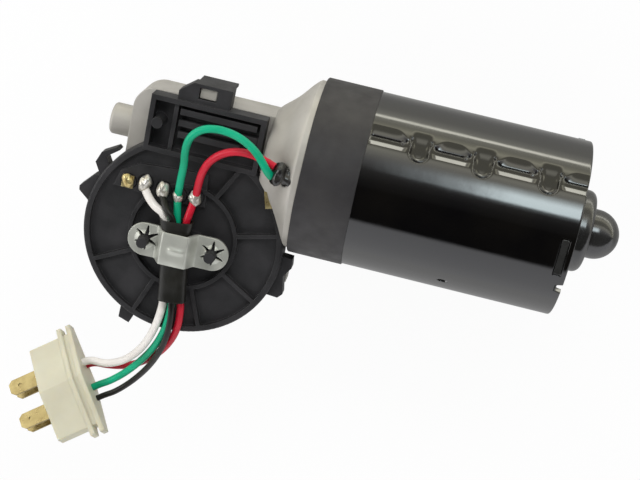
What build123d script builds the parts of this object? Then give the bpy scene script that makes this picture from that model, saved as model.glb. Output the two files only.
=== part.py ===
from build123d import *
from math import cos, degrees, hypot, pi, radians, sin, tan
import os

# A 12 V wiper motor: a wound armature turns a worm, the worm turns a moulded wheel,
# and the wheel turns the output shaft. Sizes are in millimetres.
# The origin is on the output shaft's axis, in the plane of the three mounting bosses.
# X runs along the armature towards the rear dome, Z runs out through the gear cover.

# ---------------------------------------------------------------- driving sizes
# worm drive
gear_module = 1.16
wheel_teeth = 50
worm_pitch_r = 5.0
wheel_face = 10.0
tip_gap = 0.30
backlash = 0.36
pressure_angle = 20.0
worm_half_length = 14.0

# motor
axis_height = 20.0
yoke_r = 32.0
yoke_wall = 2.0
yoke_start = 40.0
yoke_end = 135.2
band_start = 38.5
band_width = 20.0
band_wall = 0.45
magnet_wall = 7.6
air_gap = 0.8
core_start = 66.0
core_length = 40.0
core_slots = 12
slot_width = 4.8
slot_depth = 7.4
slot_mouth = 2.0
commutator_r = 11.5
commutator_start = 45.0
commutator_length = 13.0
commutator_bars = 12
bar_gap = 0.5
shaft_r = 4.0
front_journal_r = 2.8
rear_journal_r = 3.0
running_fit = 0.04
slide_fit = 0.10
body_gap = 0.30
face_gap = 0.05

# rear end plate and dome
plate_start = 130.6
plate_thickness = 2.4
end_boss_r = 15.0
end_boss_height = 9.0
end_boss_edge = 3.0
dome_r = 9.0
dome_tip = 153.2
dome_wall = 1.2

# seam, slot and holes pressed in the yoke, as angles about the motor axis from +Y
seam_angle = 47.0
seam_width = 2.2
seam_depth = 0.7
lock_stations = (76.4, 98.6, 121.8)
lock_r = 3.3
lock_groove = 0.7
tab_angles = (92.5, 212.5, 332.5)
tab_width = 13.0
tab_slot_length = 2.6
rim_notch_angle = 115.0
rim_notch_width = 3.2
rim_notch_depth = 2.0
drain_angle = 137.0
drain_station = 95.0
drain_length = 3.4
drain_width = 1.8

# gear housing
bowl_r = 34.0
bowl_wall = 2.8
floor_high = axis_height - 8.0
floor_low = floor_high - 3.0
joint_plane = axis_height + 8.0
box_left = -27.4
box_right = 24.0
box_low_y = 20.0
box_top_y = 50.5
box_bottom = axis_height - 12.0
box_corner = 8.0
box_edge = 5.0
channel_left = -18.0
channel_right = 20.5
channel_low_y = 27.0
channel_high_y = 46.0
end_boss_left = -35.7
end_boss_left_r = 5.8
neck_start = 23.5
neck_r = 17.0
flange_r = 31.0
flange_start = 35.6
spigot_length = 4.0
spigot_wall = 2.4
bell_start = 33.9
bell_floor = 38.0
bell_r = 25.5
brush_seat = 42.0
front_bush_r = 7.5
front_bush_start = 24.5
front_bush_length = 9.0
worm_bush_r = 4.6
worm_bush_start = -25.0
worm_bush_length = 6.2

# output shaft
output_r = 6.0
output_top = axis_height + 7.0
output_bush_wall = 2.0
spindle_tube_r = 9.8
spindle_tube_end = -12.0
output_bush_length = 8.0
taper_start = -14.5
taper_end = -20.5
taper_small_r = 5.2
thread_r = 4.0
shaft_end = -32.0
taper_flutes = 30
washer_thickness = 0.8
circlip_thickness = 1.0
circlip_r = 7.6
circlip_groove_r = 5.4
thrust_washer_r = 10.0

# mounting bosses
boss_circle_r = 27.0
boss_r = 6.4
boss_hole_r = 2.5
boss_hole_depth = 10.0
boss_angles = (90.0, 210.0, 330.0)
under_rib = 3.0

# worm wheel
hub_r = 11.0
hub_bottom = axis_height - 6.0
hub_top = axis_height + 6.4
web_low = axis_height - 3.0
web_high = axis_height + 1.0
rim_inner_r = 22.0
ring_inner_r = 12.5
ring_outer_r = 14.5
web_ribs = 10
contact_outer_r = 24.0
contact_inner_r = 12.3
contact_thickness = 0.8
park_notch_angle = 40.0

# gear cover
gasket_thickness = 0.6
cover_r = bowl_r + 3.1
cover_plate = joint_plane + 4.4
cover_wall = 2.0
cover_rim_top = cover_plate + 2.0
cover_rim_wall = 2.3
skirt_bottom = joint_plane - 3.0
rib_width = 1.5
inner_ring_r = 20.3
rib_angles = (15.0, 62.0, -31.0, -70.0, -112.0, -152.0)
tray_left = -20.0
tray_right = 22.0
tray_low_y = 29.5
tray_high_y = 50.3
tray_top = cover_plate + 2.6
tray_wall = 1.8
tray_bars = ((46.0, -9.0, 19.0), (41.8, -9.0, 20.0), (37.6, -8.5, 14.0))
post_place = (-15.9, 41.0)
post_r = 2.3
post_top = cover_plate + 5.6
clip_low = joint_plane - 0.4
clip_height = 6.4
clip_outer_y = 57.4
lug_x = -0.4
lug_width = 5.9
lug_from_y = 52.3
lug_to_y = 55.9
lug_height = 13.0
lug_low = joint_plane - 8.0

# cable clamp, sleeve and terminals
clamp_angle = 1.0
clamp_centre = (-0.3, -2.4)
clamp_length = 38.4
clamp_width = 12.4
clamp_sheet = 1.2
clamp_pin_spacing = 25.1
clamp_pin_r = 2.0
clamp_pin_top = cover_plate + 10.6
clamp_foot = cover_plate + 4.8
saddle_top = cover_plate + 3.6
bridge_corner = 1.5
sleeve_width = 10.2
sleeve_height = 6.4
sleeve_corner = 2.2
sleeve_wall = 0.5
sleeve_mouth = 12.4
sleeve_flare = 4.0
sleeve_from = (-2.2, 7.8)
sleeve_to = (1.3, -22.9)
terminal_places = ((-23.0, 16.0), (-16.9, 17.2), (-10.0, 16.4), (-4.0, 15.4), (2.2, 16.4))
terminal_top = cover_plate + 2.8
terminal_width = 3.0
terminal_sheet = 0.9
block_top = cover_plate + 1.6
solder_height = cover_plate + 3.8
solder_lumps = ((3.6, 6.6), (3.6, 6.8), (3.4, 4.8), (3.4, 4.8))

# brush gear
brush_plate_r = yoke_r - yoke_wall - spigot_wall - body_gap
brush_plate_thickness = 1.6
brush_width = 6.0
brush_axial = 6.5
brush_length = 9.0
brush_box_wall = 0.7
brush_box_start_r = 13.0
brush_box_end_r = 25.2
brush_screw_circle_r = 21.0
brush_screw_r = 1.4
brush_screw_head_r = 2.6
brush_screw_angles = (30.0, 150.0, 210.0, 330.0)

# plug
plug_origin = (-28.3, -71.8, cover_plate - 12.4)
plug_axis = (-0.788, -0.583, 0.197)
plug_up = (-0.574, 0.581, -0.577)
plug_half_height = 19.6
plug_half_depth = 7.0
plug_tip_half = 2.4
plug_front = 18.6
flange_half_height = 23.1
flange_half_depth = 8.0
flange_tip_half = 2.3
flange_thickness = 1.9
flange_pitch = 4.0
blade_width = 6.3
blade_sheet = 0.8
blade_out = 11.8
blade_in = 12.0
blade_rows = (-3.0, 3.0)
blade_columns = (-7.0, 7.6)
white_entry = (6.6, -0.6)
red_entry = (6.4, 2.9)
green_entry = (-4.0, 1.0)
black_entry = (-8.5, 2.1)
entry_stub = 3.0

# grommet in the neck
grommet_seat = (35.6, 35.6, axis_height + 26.4)
grommet_axis = (-0.92, 0.20, 0.33)
grommet_r = 3.6
grommet_height = 6.5
grommet_neck_r = 2.6
grommet_depth = 7.0
grommet_neck = 5.0
grommet_pad = 0.6
entry_half = 1.8
tab_length = 7.3
earth_tab_width = 3.2

# wires
lead_white_r = 1.5
lead_colour_r = 1.4
lead_black_r = 1.15

# ---------------------------------------------------------------- worked-out sizes
wheel_pitch_r = gear_module * wheel_teeth / 2
centre_distance = worm_pitch_r + wheel_pitch_r
worm_lead = pi * gear_module
worm_tip_r = worm_pitch_r + gear_module
worm_root_r = worm_pitch_r - gear_module - tip_gap
wheel_tip_r = wheel_pitch_r + gear_module
wheel_root_r = wheel_pitch_r - gear_module - tip_gap
wheel_twist = degrees(worm_lead / (2 * pi * worm_pitch_r) * wheel_face / wheel_pitch_r)
wheel_bottom = axis_height - wheel_face / 2
wheel_top = axis_height + wheel_face / 2
yoke_inner_r = yoke_r - yoke_wall
magnet_inner_r = yoke_inner_r - magnet_wall
core_r = magnet_inner_r - air_gap
core_end = core_start + core_length
commutator_end = commutator_start + commutator_length
plate_end = plate_start + plate_thickness
cover_seat = joint_plane + gasket_thickness
spindle_bore_r = output_r + output_bush_wall
brush_box_x = brush_seat + brush_plate_thickness
box_wall_and_fit = brush_box_wall + slide_fit
contact_top = wheel_top + contact_thickness

grommet_plane = Plane(origin=grommet_seat, x_dir=(0, 1, 0), z_dir=grommet_axis)
tab_plane = Plane(origin=(28.3, 22.6, cover_rim_top), x_dir=(1.7, -6.6, 0), z_dir=(0, 0, 1))

os.makedirs("parts", exist_ok=True)
shaft_line = Axis((0, centre_distance, axis_height), (1, 0, 0))
side_plane = Plane(origin=(0, centre_distance, axis_height), x_dir=(1, 0, 0), z_dir=(0, -1, 0))


def across(station):
    """Plane square to the motor axis: its x is +Y, its y is +Z."""
    return Plane(origin=(station, centre_distance, axis_height), x_dir=(0, 1, 0), z_dir=(1, 0, 0))


def save(piece, name):
    piece.part.label = name
    export_step(piece.part, "parts/" + name + ".step")


def turned(outline, plane=side_plane, axis=shaft_line):
    """A ring or a shaft from half its section, a closed outline in the given plane."""
    with BuildPart() as ring:
        with BuildSketch(plane):
            with BuildLine():
                Polyline(*outline, close=True)
            make_face()
        revolve(axis=axis)
    return ring


def tube(start, end, outer, inner):
    """A plain tube about the motor axis."""
    return turned(((start, inner), (end, inner), (end, outer), (start, outer)))


def collar(low, high, outer, inner):
    """A plain tube about the output shaft's axis."""
    return turned(((inner, low), (outer, low), (outer, high), (inner, high)), Plane.XZ, Axis.Z)


# ---------------------------------------------------------------- gear housing
neck_flare = ((neck_start, neck_r), (25.5, 19.6), (30.2, 24.0), (flange_start, flange_r - 0.6))

with BuildPart() as housing:
    # wheel bowl and worm box
    with BuildSketch(Plane.XY.offset(floor_low)):
        Circle(bowl_r)
    extrude(amount=joint_plane - floor_low)
    with BuildSketch(Plane.XY.offset(box_bottom)):
        with BuildLine():
            Polyline((box_left, box_low_y), (box_right, box_low_y), (box_right, box_top_y),
                     (box_left, box_top_y), close=True)
        make_face()
    extrude(amount=joint_plane - box_bottom)
    fillet(housing.edges().filter_by(Axis.Z).group_by(Axis.X)[0].sort_by(Axis.Y)[-1], box_corner)
    fillet(housing.edges().filter_by(Axis.X).group_by(Axis.Z)[0].sort_by(Axis.Y)[-1], box_edge)
    # flared neck and flange, turned about the motor axis
    with BuildSketch(side_plane):
        with BuildLine():
            flare = Spline(*neck_flare, tangents=((0.35, 1.0), (1.0, 0.9)))
            Polyline(flare @ 1, (flange_start + 0.8, flange_r), (band_start + 0.2, flange_r),
                     (band_start + 0.2, yoke_r), (yoke_start, yoke_r),
                     (yoke_start, yoke_inner_r - face_gap),
                     (yoke_start + spigot_length, yoke_inner_r - face_gap),
                     (yoke_start + spigot_length, 0), (neck_start, 0), flare @ 0)
        make_face()
    revolve(axis=shaft_line)
    # blind boss that holds the worm-end thrust screw
    with BuildSketch(across(box_left + 2)):
        Circle(end_boss_left_r)
    extrude(amount=end_boss_left - box_left - 2)
    fillet(housing.edges().group_by(Axis.X)[0], 1.2)
    # mounting bosses, their ribs and the spindle tube
    with BuildSketch(Plane.XY):
        with PolarLocations(boss_circle_r, 3, start_angle=boss_angles[0]):
            Circle(boss_r)
    extrude(amount=floor_high)
    with BuildSketch(Plane.XY.offset(2.5)):
        for boss_angle in boss_angles:
            with Locations(Location((0, 0), boss_angle)):
                Rectangle(boss_circle_r, under_rib, align=(Align.MIN, Align.CENTER))
    extrude(amount=floor_high - 2.5)
    with BuildSketch(Plane.XY.offset(spindle_tube_end)):
        Circle(spindle_tube_r)
    extrude(amount=floor_high - spindle_tube_end, taper=-2.0)
    # pad under the grommet
    with BuildSketch(grommet_plane.offset(grommet_pad)):
        Circle(grommet_r + 0.4)
    extrude(amount=-5.0)
    with BuildSketch(grommet_plane.offset(grommet_pad)):
        Circle(grommet_r + face_gap)
    extrude(amount=grommet_height * 2, mode=Mode.SUBTRACT)
    # lugs for the cover's snap hooks
    with BuildSketch(Plane.XY.offset(lug_low)):
        with Locations((lug_x, lug_to_y)):
            Rectangle(lug_width, lug_to_y - box_top_y + 1, align=(Align.CENTER, Align.MAX))
    extrude(amount=clip_low - body_gap - lug_low)
    with BuildSketch(Plane.XY.offset(floor_high + 6)):
        with Locations((bowl_r + 1.5, -7.0)):
            Rectangle(8.0, 8.0)
    extrude(amount=skirt_bottom - body_gap - floor_high - 6)
    # room for the cover
    with BuildSketch(Plane.XY.offset(joint_plane)):
        Circle(cover_r + body_gap)
        with Locations(((tray_left + tray_right) / 2, 37.0)):
            Rectangle(tray_right - tray_left + 2 * body_gap, 32.0)
    extrude(amount=40, mode=Mode.SUBTRACT)
    with BuildSketch(Plane.XY.offset(skirt_bottom - body_gap)):
        Circle(cover_r + body_gap)
        Circle(bowl_r + 0.2, mode=Mode.SUBTRACT)
        with Locations((0, box_low_y)):
            Rectangle(3 * cover_r, 3 * cover_r, align=(Align.CENTER, Align.MIN), mode=Mode.SUBTRACT)
    extrude(amount=8, mode=Mode.SUBTRACT)
    with BuildSketch(tab_plane.offset(-body_gap)):
        Rectangle(tab_length + 2 * body_gap, earth_tab_width + 2 * body_gap)
    extrude(amount=6, mode=Mode.SUBTRACT)
    # the lug's tip, which stands in the clip's window
    with BuildSketch(Plane.XY.offset(lug_low + 1)):
        with Locations((lug_x, (lug_from_y + lug_to_y) / 2)):
            Rectangle(lug_width, lug_to_y - lug_from_y)
    extrude(amount=lug_height - 1)
    # wheel chamber and worm channel
    with BuildSketch(Plane.XY.offset(floor_high)):
        Circle(bowl_r - bowl_wall)
        with Locations(((channel_left + channel_right) / 2, (channel_low_y + channel_high_y) / 2)):
            Rectangle(channel_right - channel_left, channel_high_y - channel_low_y)
    extrude(amount=joint_plane, mode=Mode.SUBTRACT)
    # every bore on the motor axis
    with BuildSketch(side_plane):
        with BuildLine():
            Polyline((end_boss_left - 1, 0), (end_boss_left - 1, 4.0), (-29.6, 4.0),
                     (-29.6, front_journal_r + 0.2), (worm_bush_start, front_journal_r + 0.2),
                     (worm_bush_start, worm_bush_r),
                     (channel_left + 1, worm_bush_r), (channel_left + 1, 0), close=True)
        make_face()
    revolve(axis=shaft_line, mode=Mode.SUBTRACT)
    with BuildSketch(side_plane):
        with BuildLine():
            Polyline((channel_right - 1, 0), (channel_right - 1, shaft_r + 1),
                     (front_bush_start, shaft_r + 1), (front_bush_start, front_bush_r),
                     (bell_start, front_bush_r), (bell_start, 14.0), (bell_floor, bell_r),
                     (brush_seat, bell_r), (brush_seat, yoke_inner_r - spigot_wall),
                     (yoke_start + spigot_length + 1, yoke_inner_r - spigot_wall),
                     (yoke_start + spigot_length + 1, 0), close=True)
        make_face()
    revolve(axis=shaft_line, mode=Mode.SUBTRACT)
    # hole for the grommet's neck
    with BuildSketch(grommet_plane.offset(grommet_pad + 1)):
        Circle(grommet_neck_r)
    extrude(amount=-grommet_depth - grommet_pad - 1, mode=Mode.SUBTRACT)
    # bores for the output shaft and the mounting screws
    with BuildSketch(Plane.XY.offset(spindle_tube_end)):
        Circle(spindle_bore_r)
    extrude(amount=output_bush_length, mode=Mode.SUBTRACT)
    with BuildSketch(Plane.XY.offset(floor_high - output_bush_length)):
        Circle(spindle_bore_r)
    extrude(amount=output_bush_length, mode=Mode.SUBTRACT)
    with BuildSketch(Plane.XY.offset(spindle_tube_end)):
        Circle(output_r + 0.6)
    extrude(amount=floor_high - spindle_tube_end, mode=Mode.SUBTRACT)
    with BuildSketch(Plane.XY):
        with PolarLocations(boss_circle_r, 3, start_angle=boss_angles[0]):
            Circle(boss_hole_r)
    extrude(amount=boss_hole_depth, mode=Mode.SUBTRACT)
save(housing, "gear_housing")


# ---------------------------------------------------------------- bearings in the housing
worm_bush = tube(worm_bush_start, worm_bush_start + worm_bush_length, worm_bush_r,
                 front_journal_r + running_fit)
save(worm_bush, "worm_end_bush")

front_bush = tube(front_bush_start, front_bush_start + front_bush_length, front_bush_r,
                  shaft_r + running_fit)
save(front_bush, "front_bush")

thrust_ball_r = 2.0
shaft_left = worm_bush_start - 0.8
with BuildPart() as thrust_ball:
    with Locations((shaft_left - thrust_ball_r - face_gap, centre_distance, axis_height)):
        Sphere(thrust_ball_r)
save(thrust_ball, "thrust_ball")

screw_nose = shaft_left - 2 * (thrust_ball_r + face_gap)
with BuildPart() as thrust_screw:
    with BuildSketch(across(end_boss_left + 0.6)):
        Circle(4.0)
    extrude(amount=screw_nose - end_boss_left - 0.6)
    with BuildSketch(across(end_boss_left + 0.6)):
        RegularPolygon(2.2, 6)
    extrude(amount=2.5, mode=Mode.SUBTRACT)
save(thrust_screw, "thrust_screw")

with BuildPart() as output_bushes:
    for low in (spindle_tube_end, floor_high - output_bush_length):
        with BuildSketch(Plane.XY.offset(low)):
            Circle(spindle_bore_r)
            Circle(output_r + running_fit, mode=Mode.SUBTRACT)
        extrude(amount=output_bush_length)
save(output_bushes, "output_bushes")

# ---------------------------------------------------------------- yoke and its end
with BuildPart() as yoke:
    with BuildSketch(across(yoke_start)):
        Circle(yoke_r)
        Circle(yoke_inner_r, mode=Mode.SUBTRACT)
    extrude(amount=yoke_end - yoke_start)
    fillet(yoke.edges().group_by(Axis.X)[-1].sort_by(SortBy.LENGTH)[-1], 0.7)
    # butt seam along the rolled sheet, and the locks that hold it shut
    with BuildSketch(across(yoke_start - 1)):
        with Locations(Location((0, 0), seam_angle)):
            with Locations((yoke_r, 0)):
                Rectangle(2 * seam_depth, seam_width)
    extrude(amount=yoke_end - yoke_start + 2, mode=Mode.SUBTRACT)
    for station in lock_stations:
        lock_plane = Plane(
            origin=(station, centre_distance + (yoke_r - seam_depth) * cos(radians(seam_angle)),
                    axis_height + (yoke_r - seam_depth) * sin(radians(seam_angle))),
            x_dir=(1, 0, 0), z_dir=(0, cos(radians(seam_angle)), sin(radians(seam_angle))))
        with BuildSketch(lock_plane):
            Circle(lock_r)
            Circle(lock_r - lock_groove, mode=Mode.SUBTRACT)
        extrude(amount=3, mode=Mode.SUBTRACT)
    # slots for the end plate's tabs, the rim notch and the drain hole
    for tab_angle in tab_angles:
        with BuildSketch(across(plate_start - 0.1)):
            with Locations(Location((0, 0), tab_angle)):
                with Locations((yoke_r, 0)):
                    Rectangle(3 * yoke_wall, tab_width)
        extrude(amount=tab_slot_length, mode=Mode.SUBTRACT)
    with BuildSketch(across(yoke_end - rim_notch_depth)):
        with Locations(Location((0, 0), rim_notch_angle)):
            with Locations((yoke_r, 0)):
                Rectangle(3 * yoke_wall, rim_notch_width)
    extrude(amount=rim_notch_depth + 1, mode=Mode.SUBTRACT)
    drain_plane = Plane(origin=(drain_station, centre_distance, axis_height), x_dir=(1, 0, 0),
                        z_dir=(0, cos(radians(drain_angle)), sin(radians(drain_angle))))
    with BuildSketch(drain_plane):
        SlotOverall(drain_length, drain_width)
    extrude(amount=yoke_r + 1, mode=Mode.SUBTRACT)
save(yoke, "yoke")

band = tube(band_start, band_start + band_width, yoke_r + face_gap + band_wall, yoke_r + face_gap)
save(band, "yoke_band")

# end plate: a pressed disc with tabs, a round boss and the domed bearing cup
boss_face = plate_end + end_boss_height
edge_centre = (boss_face - end_boss_edge, end_boss_r - end_boss_edge)
dome_centre = dome_tip - dome_r
with BuildPart() as end_plate:
    with BuildSketch(side_plane):
        with BuildLine():
            Polyline((plate_start, 0), (plate_start, yoke_inner_r - face_gap),
                     (plate_end, yoke_inner_r - face_gap), (plate_end, end_boss_r),
                     (edge_centre[0], end_boss_r))
            ThreePointArc((edge_centre[0], end_boss_r),
                          (edge_centre[0] + end_boss_edge * cos(pi / 4),
                           edge_centre[1] + end_boss_edge * sin(pi / 4)),
                          (boss_face, edge_centre[1]))
            Polyline((boss_face, edge_centre[1]), (boss_face, dome_r), (dome_centre, dome_r))
            ThreePointArc((dome_centre, dome_r),
                          (dome_centre + dome_r * cos(pi / 4), dome_r * sin(pi / 4)), (dome_tip, 0))
            Line((dome_tip, 0), (plate_start, 0))
        make_face()
    revolve(axis=shaft_line)
    for tab_angle in tab_angles:
        with BuildSketch(across(plate_start)):
            with Locations(Location((0, 0), tab_angle)):
                with Locations((yoke_r - 2.2, 0)):
                    Rectangle(3.6, tab_width - 2 * slide_fit)
        extrude(amount=plate_thickness)
    with BuildSketch(side_plane):
        with BuildLine():
            Polyline((plate_start - 1, 0), (plate_start - 1, end_boss_r - 2.4),
                     (boss_face - 2.4, end_boss_r - 2.4), (boss_face - 2.4, dome_r - dome_wall),
                     (dome_centre, dome_r - dome_wall))
            ThreePointArc((dome_centre, dome_r - dome_wall),
                          (dome_centre + (dome_r - dome_wall) * cos(pi / 4),
                           (dome_r - dome_wall) * sin(pi / 4)), (dome_tip - dome_wall, 0))
            Line((dome_tip - dome_wall, 0), (plate_start - 1, 0))
        make_face()
    revolve(axis=shaft_line, mode=Mode.SUBTRACT)
save(end_plate, "end_plate")

rear_bush_start = boss_face - 2.4
rear_bush_length = dome_centre - rear_bush_start
rear_bush = tube(rear_bush_start, rear_bush_start + rear_bush_length, dome_r - dome_wall,
                 rear_journal_r + running_fit)
save(rear_bush, "rear_bush")

with BuildPart() as bush_retainer:
    with BuildSketch(across(rear_bush_start - 0.6)):
        Circle(end_boss_r - 2.4)
        Circle(rear_journal_r + 1.5, mode=Mode.SUBTRACT)
        with PolarLocations(rear_journal_r + 4.5, 6):
            Circle(1.2, mode=Mode.SUBTRACT)
    extrude(amount=0.6)
save(bush_retainer, "bush_retainer")

# ---------------------------------------------------------------- magnets
magnet_start = 60.0
magnet_length = 52.0
magnet_half_angle = 62.0


def sector(inner, outer, start_angle, end_angle):
    """The face of a ring sector about the sketch's own origin."""
    first, middle, last = (radians(a) for a in (start_angle, (start_angle + end_angle) / 2, end_angle))

    def at(radius, angle):
        return (radius * cos(angle), radius * sin(angle))

    with BuildSketch() as piece:
        with BuildLine():
            ThreePointArc(at(outer, first), at(outer, middle), at(outer, last))
            Line(at(outer, last), at(inner, last))
            ThreePointArc(at(inner, last), at(inner, middle), at(inner, first))
            Line(at(inner, first), at(outer, first))
        make_face()
    return piece.sketch


with BuildPart() as magnets:
    for pole in (0.0, 180.0):
        with BuildSketch(across(magnet_start)):
            add(sector(magnet_inner_r, yoke_inner_r - face_gap, pole - magnet_half_angle,
                       pole + magnet_half_angle))
        extrude(amount=magnet_length)
save(magnets, "magnets")

with BuildPart() as magnet_clips:
    for side in (90.0, 270.0):
        half = 90.0 - magnet_half_angle - 0.2
        with BuildSketch(across(magnet_start + 4)):
            add(sector(yoke_inner_r - 1.0, yoke_inner_r - face_gap, side - half, side + half))
            add(sector(magnet_inner_r + 1.0, yoke_inner_r - 0.9, side - half, side - half + 2.2))
            add(sector(magnet_inner_r + 1.0, yoke_inner_r - 0.9, side + half - 2.2, side + half))
        extrude(amount=magnet_length - 8)
save(magnet_clips, "magnet_clips")

# ---------------------------------------------------------------- armature
rear_journal_start = plate_start
armature_outline = (
    (shaft_left, 0), (shaft_left, front_journal_r),
    (worm_bush_start + worm_bush_length + 0.6, front_journal_r),
    (worm_bush_start + worm_bush_length + 0.6, worm_root_r), (channel_right - 1.5, worm_root_r),
    (channel_right - 1.5, shaft_r), (rear_journal_start, shaft_r), (rear_journal_start, rear_journal_r),
    (rear_bush_start + rear_bush_length + 1.0, rear_journal_r),
    (rear_bush_start + rear_bush_length + 1.0, 0))
flank = gear_module * tan(radians(pressure_angle))
thread_half = worm_lead / 4 - backlash / 4
thread_height = worm_tip_r - worm_root_r

with BuildPart() as armature_shaft:
    with BuildSketch(side_plane):
        with BuildLine():
            Polyline(*armature_outline, close=True)
        make_face()
    revolve(axis=shaft_line)
    # single-start right-hand worm thread; a crest stands half a pitch from the wheel's centre line
    turns = int(2 * worm_half_length / worm_lead)
    thread_start = -(turns / 2 + 0.25) * worm_lead
    with BuildLine() as thread_path:
        Helix(worm_lead, turns * worm_lead, worm_root_r - 0.3,
              center=(thread_start, centre_distance, axis_height), direction=(1, 0, 0))
    root_half = thread_half + flank * (worm_pitch_r - worm_root_r + 0.3) / gear_module
    crest_half = thread_half - flank
    thread_foot = thread_path.line @ 0
    outward = Vector(0, thread_foot.Y - centre_distance, thread_foot.Z - axis_height).normalized()
    with BuildSketch(Plane(origin=thread_foot, x_dir=outward, z_dir=thread_path.line % 0)):
        with BuildLine():
            Polyline((0, -root_half), (thread_height + 0.3, -crest_half),
                     (thread_height + 0.3, crest_half), (0, root_half), close=True)
        make_face()
    sweep(path=thread_path.line, is_frenet=True)
save(armature_shaft, "armature_shaft")

# ---------------------------------------------------------------- armature core, windings, commutator
with BuildPart() as lamination_core:
    with BuildSketch(across(core_start)):
        Circle(core_r)
        Circle(shaft_r, mode=Mode.SUBTRACT)
        for slot in range(core_slots):
            slot_angle = 360.0 / core_slots * (slot + 0.5)
            with Locations(Location((0, 0), slot_angle)):
                with Locations((core_r - 1.6 - slot_depth / 2, 0)):
                    Rectangle(slot_depth, slot_width, mode=Mode.SUBTRACT)
                with Locations((core_r - 1.0, 0)):
                    Rectangle(2.4, slot_mouth, mode=Mode.SUBTRACT)
    extrude(amount=core_length)
save(lamination_core, "lamination_core")

end_turn_r = core_r - 2.0
end_turn_inner_r = core_r - 1.6 - slot_depth - 1.5
with BuildPart() as windings:
    with BuildSketch(across(core_start)):
        for slot in range(core_slots):
            with Locations(Location((0, 0), 360.0 / core_slots * (slot + 0.5))):
                with Locations((core_r - 1.8 - slot_depth / 2, 0)):
                    Rectangle(slot_depth - 0.4, slot_width - 0.2)
    extrude(amount=core_length)
    for start, length in ((core_start - 6.5, 6.5), (core_end, 7.0)):
        with BuildSketch(across(start)):
            Circle(end_turn_r)
            Circle(end_turn_inner_r, mode=Mode.SUBTRACT)
        extrude(amount=length)
    fillet(windings.edges().group_by(Axis.X)[0] + windings.edges().group_by(Axis.X)[-1], 2.0)
save(windings, "windings")

commutator_hub_r = commutator_r - 2.4
commutator_hub = tube(commutator_start, commutator_end, commutator_hub_r, shaft_r)
save(commutator_hub, "commutator_hub")

with BuildPart() as bars:
    bar_angle = 360.0 / commutator_bars
    bar_half = bar_angle / 2 - degrees(bar_gap / 2 / commutator_r)
    for bar in range(commutator_bars):
        with BuildSketch(across(commutator_start)):
            add(sector(commutator_hub_r, commutator_r, bar * bar_angle - bar_half,
                       bar * bar_angle + bar_half))
        extrude(amount=commutator_length)
        with BuildSketch(across(commutator_end - 1.4)):
            add(sector(commutator_r - 0.5, commutator_r + 1.4, bar * bar_angle - 4.5,
                       bar * bar_angle + 4.5))
        extrude(amount=1.4)
save(bars, "commutator_bars")

with BuildPart() as insulators:
    for start in (commutator_end + face_gap, core_end + 7.2):
        with BuildSketch(across(start)):
            Circle(shaft_r + 2.2)
            Circle(shaft_r, mode=Mode.SUBTRACT)
        extrude(amount=core_start - 0.2 - commutator_end if start < core_start else 6.0)
save(insulators, "shaft_insulators")

# ---------------------------------------------------------------- brush gear
with BuildPart() as brush_plate:
    with BuildSketch(across(brush_seat)):
        Circle(brush_plate_r)
        Circle(commutator_r + 1.6, mode=Mode.SUBTRACT)
        for screw_angle in brush_screw_angles:
            with Locations(Location((0, 0), screw_angle)):
                with Locations((brush_screw_circle_r, 0)):
                    Circle(brush_screw_r + 0.1, mode=Mode.SUBTRACT)
    extrude(amount=brush_plate_thickness)
save(brush_plate, "brush_plate")

with BuildPart() as brush_screws:
    for screw_angle in brush_screw_angles:
        with BuildSketch(across(brush_box_x)):
            with Locations(Location((0, 0), screw_angle)):
                with Locations((brush_screw_circle_r, 0)):
                    Circle(brush_screw_head_r)
        extrude(amount=1.4)
        with BuildSketch(across(bell_floor)):
            with Locations(Location((0, 0), screw_angle)):
                with Locations((brush_screw_circle_r, 0)):
                    Circle(brush_screw_r)
        extrude(amount=brush_box_x - bell_floor)
save(brush_screws, "brush_plate_screws")

# brush_side is the sense of Z in which each brush stands off the commutator
brush_centre_x = brush_box_x + box_wall_and_fit + brush_axial / 2
brush_inner_r = commutator_r + 0.1
brush_outer_r = brush_inner_r + brush_length
spring_r = 2.3
spring_wire_r = 0.35
with BuildPart() as brush_boxes:
    for brush_side in (1, -1):
        low_z = axis_height + brush_side * brush_box_start_r
        box_plane = Plane(origin=(brush_centre_x, centre_distance, low_z), x_dir=(1, 0, 0),
                          z_dir=(0, 0, brush_side))
        outer_axial = brush_axial + 2 * box_wall_and_fit
        outer_width = brush_width + 2 * box_wall_and_fit
        with BuildSketch(box_plane):
            Rectangle(outer_axial, outer_width)
            Rectangle(brush_axial + 2 * slide_fit, brush_width + 2 * slide_fit, mode=Mode.SUBTRACT)
        extrude(amount=brush_box_end_r - brush_box_start_r)
        with BuildSketch(box_plane.offset(brush_box_end_r - brush_box_start_r)):
            Rectangle(outer_axial, outer_width)
        extrude(amount=brush_box_wall)
save(brush_boxes, "brush_boxes")


def brush_at(brush_side):
    """Carbon block on one side of the commutator, its foot hollowed to the bars."""
    foot = Plane(origin=(brush_centre_x, centre_distance, axis_height), x_dir=(1, 0, 0),
                 z_dir=(0, 0, brush_side))
    with BuildPart() as brush:
        with BuildSketch(foot):
            Rectangle(brush_axial, brush_width)
        extrude(amount=brush_outer_r)
        with BuildSketch(across(brush_centre_x - brush_axial)):
            Circle(brush_inner_r)
        extrude(amount=2 * brush_axial, mode=Mode.SUBTRACT)
    return brush


def spring_at(brush_side):
    """Coil spring between a brush and the end of its box."""
    length = brush_box_end_r - brush_outer_r - 2 * (spring_wire_r + face_gap)
    seat = brush_outer_r + spring_wire_r + face_gap
    with BuildPart() as spring:
        with BuildLine() as coil:
            Helix(length / 4, length, spring_r,
                  center=(brush_centre_x, centre_distance, axis_height + brush_side * seat),
                  direction=(0, 0, brush_side))
        with BuildSketch(Plane(origin=coil.line @ 0, z_dir=coil.line % 0)):
            Circle(spring_wire_r)
        sweep(path=coil.line, is_frenet=True)
    return spring


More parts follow.
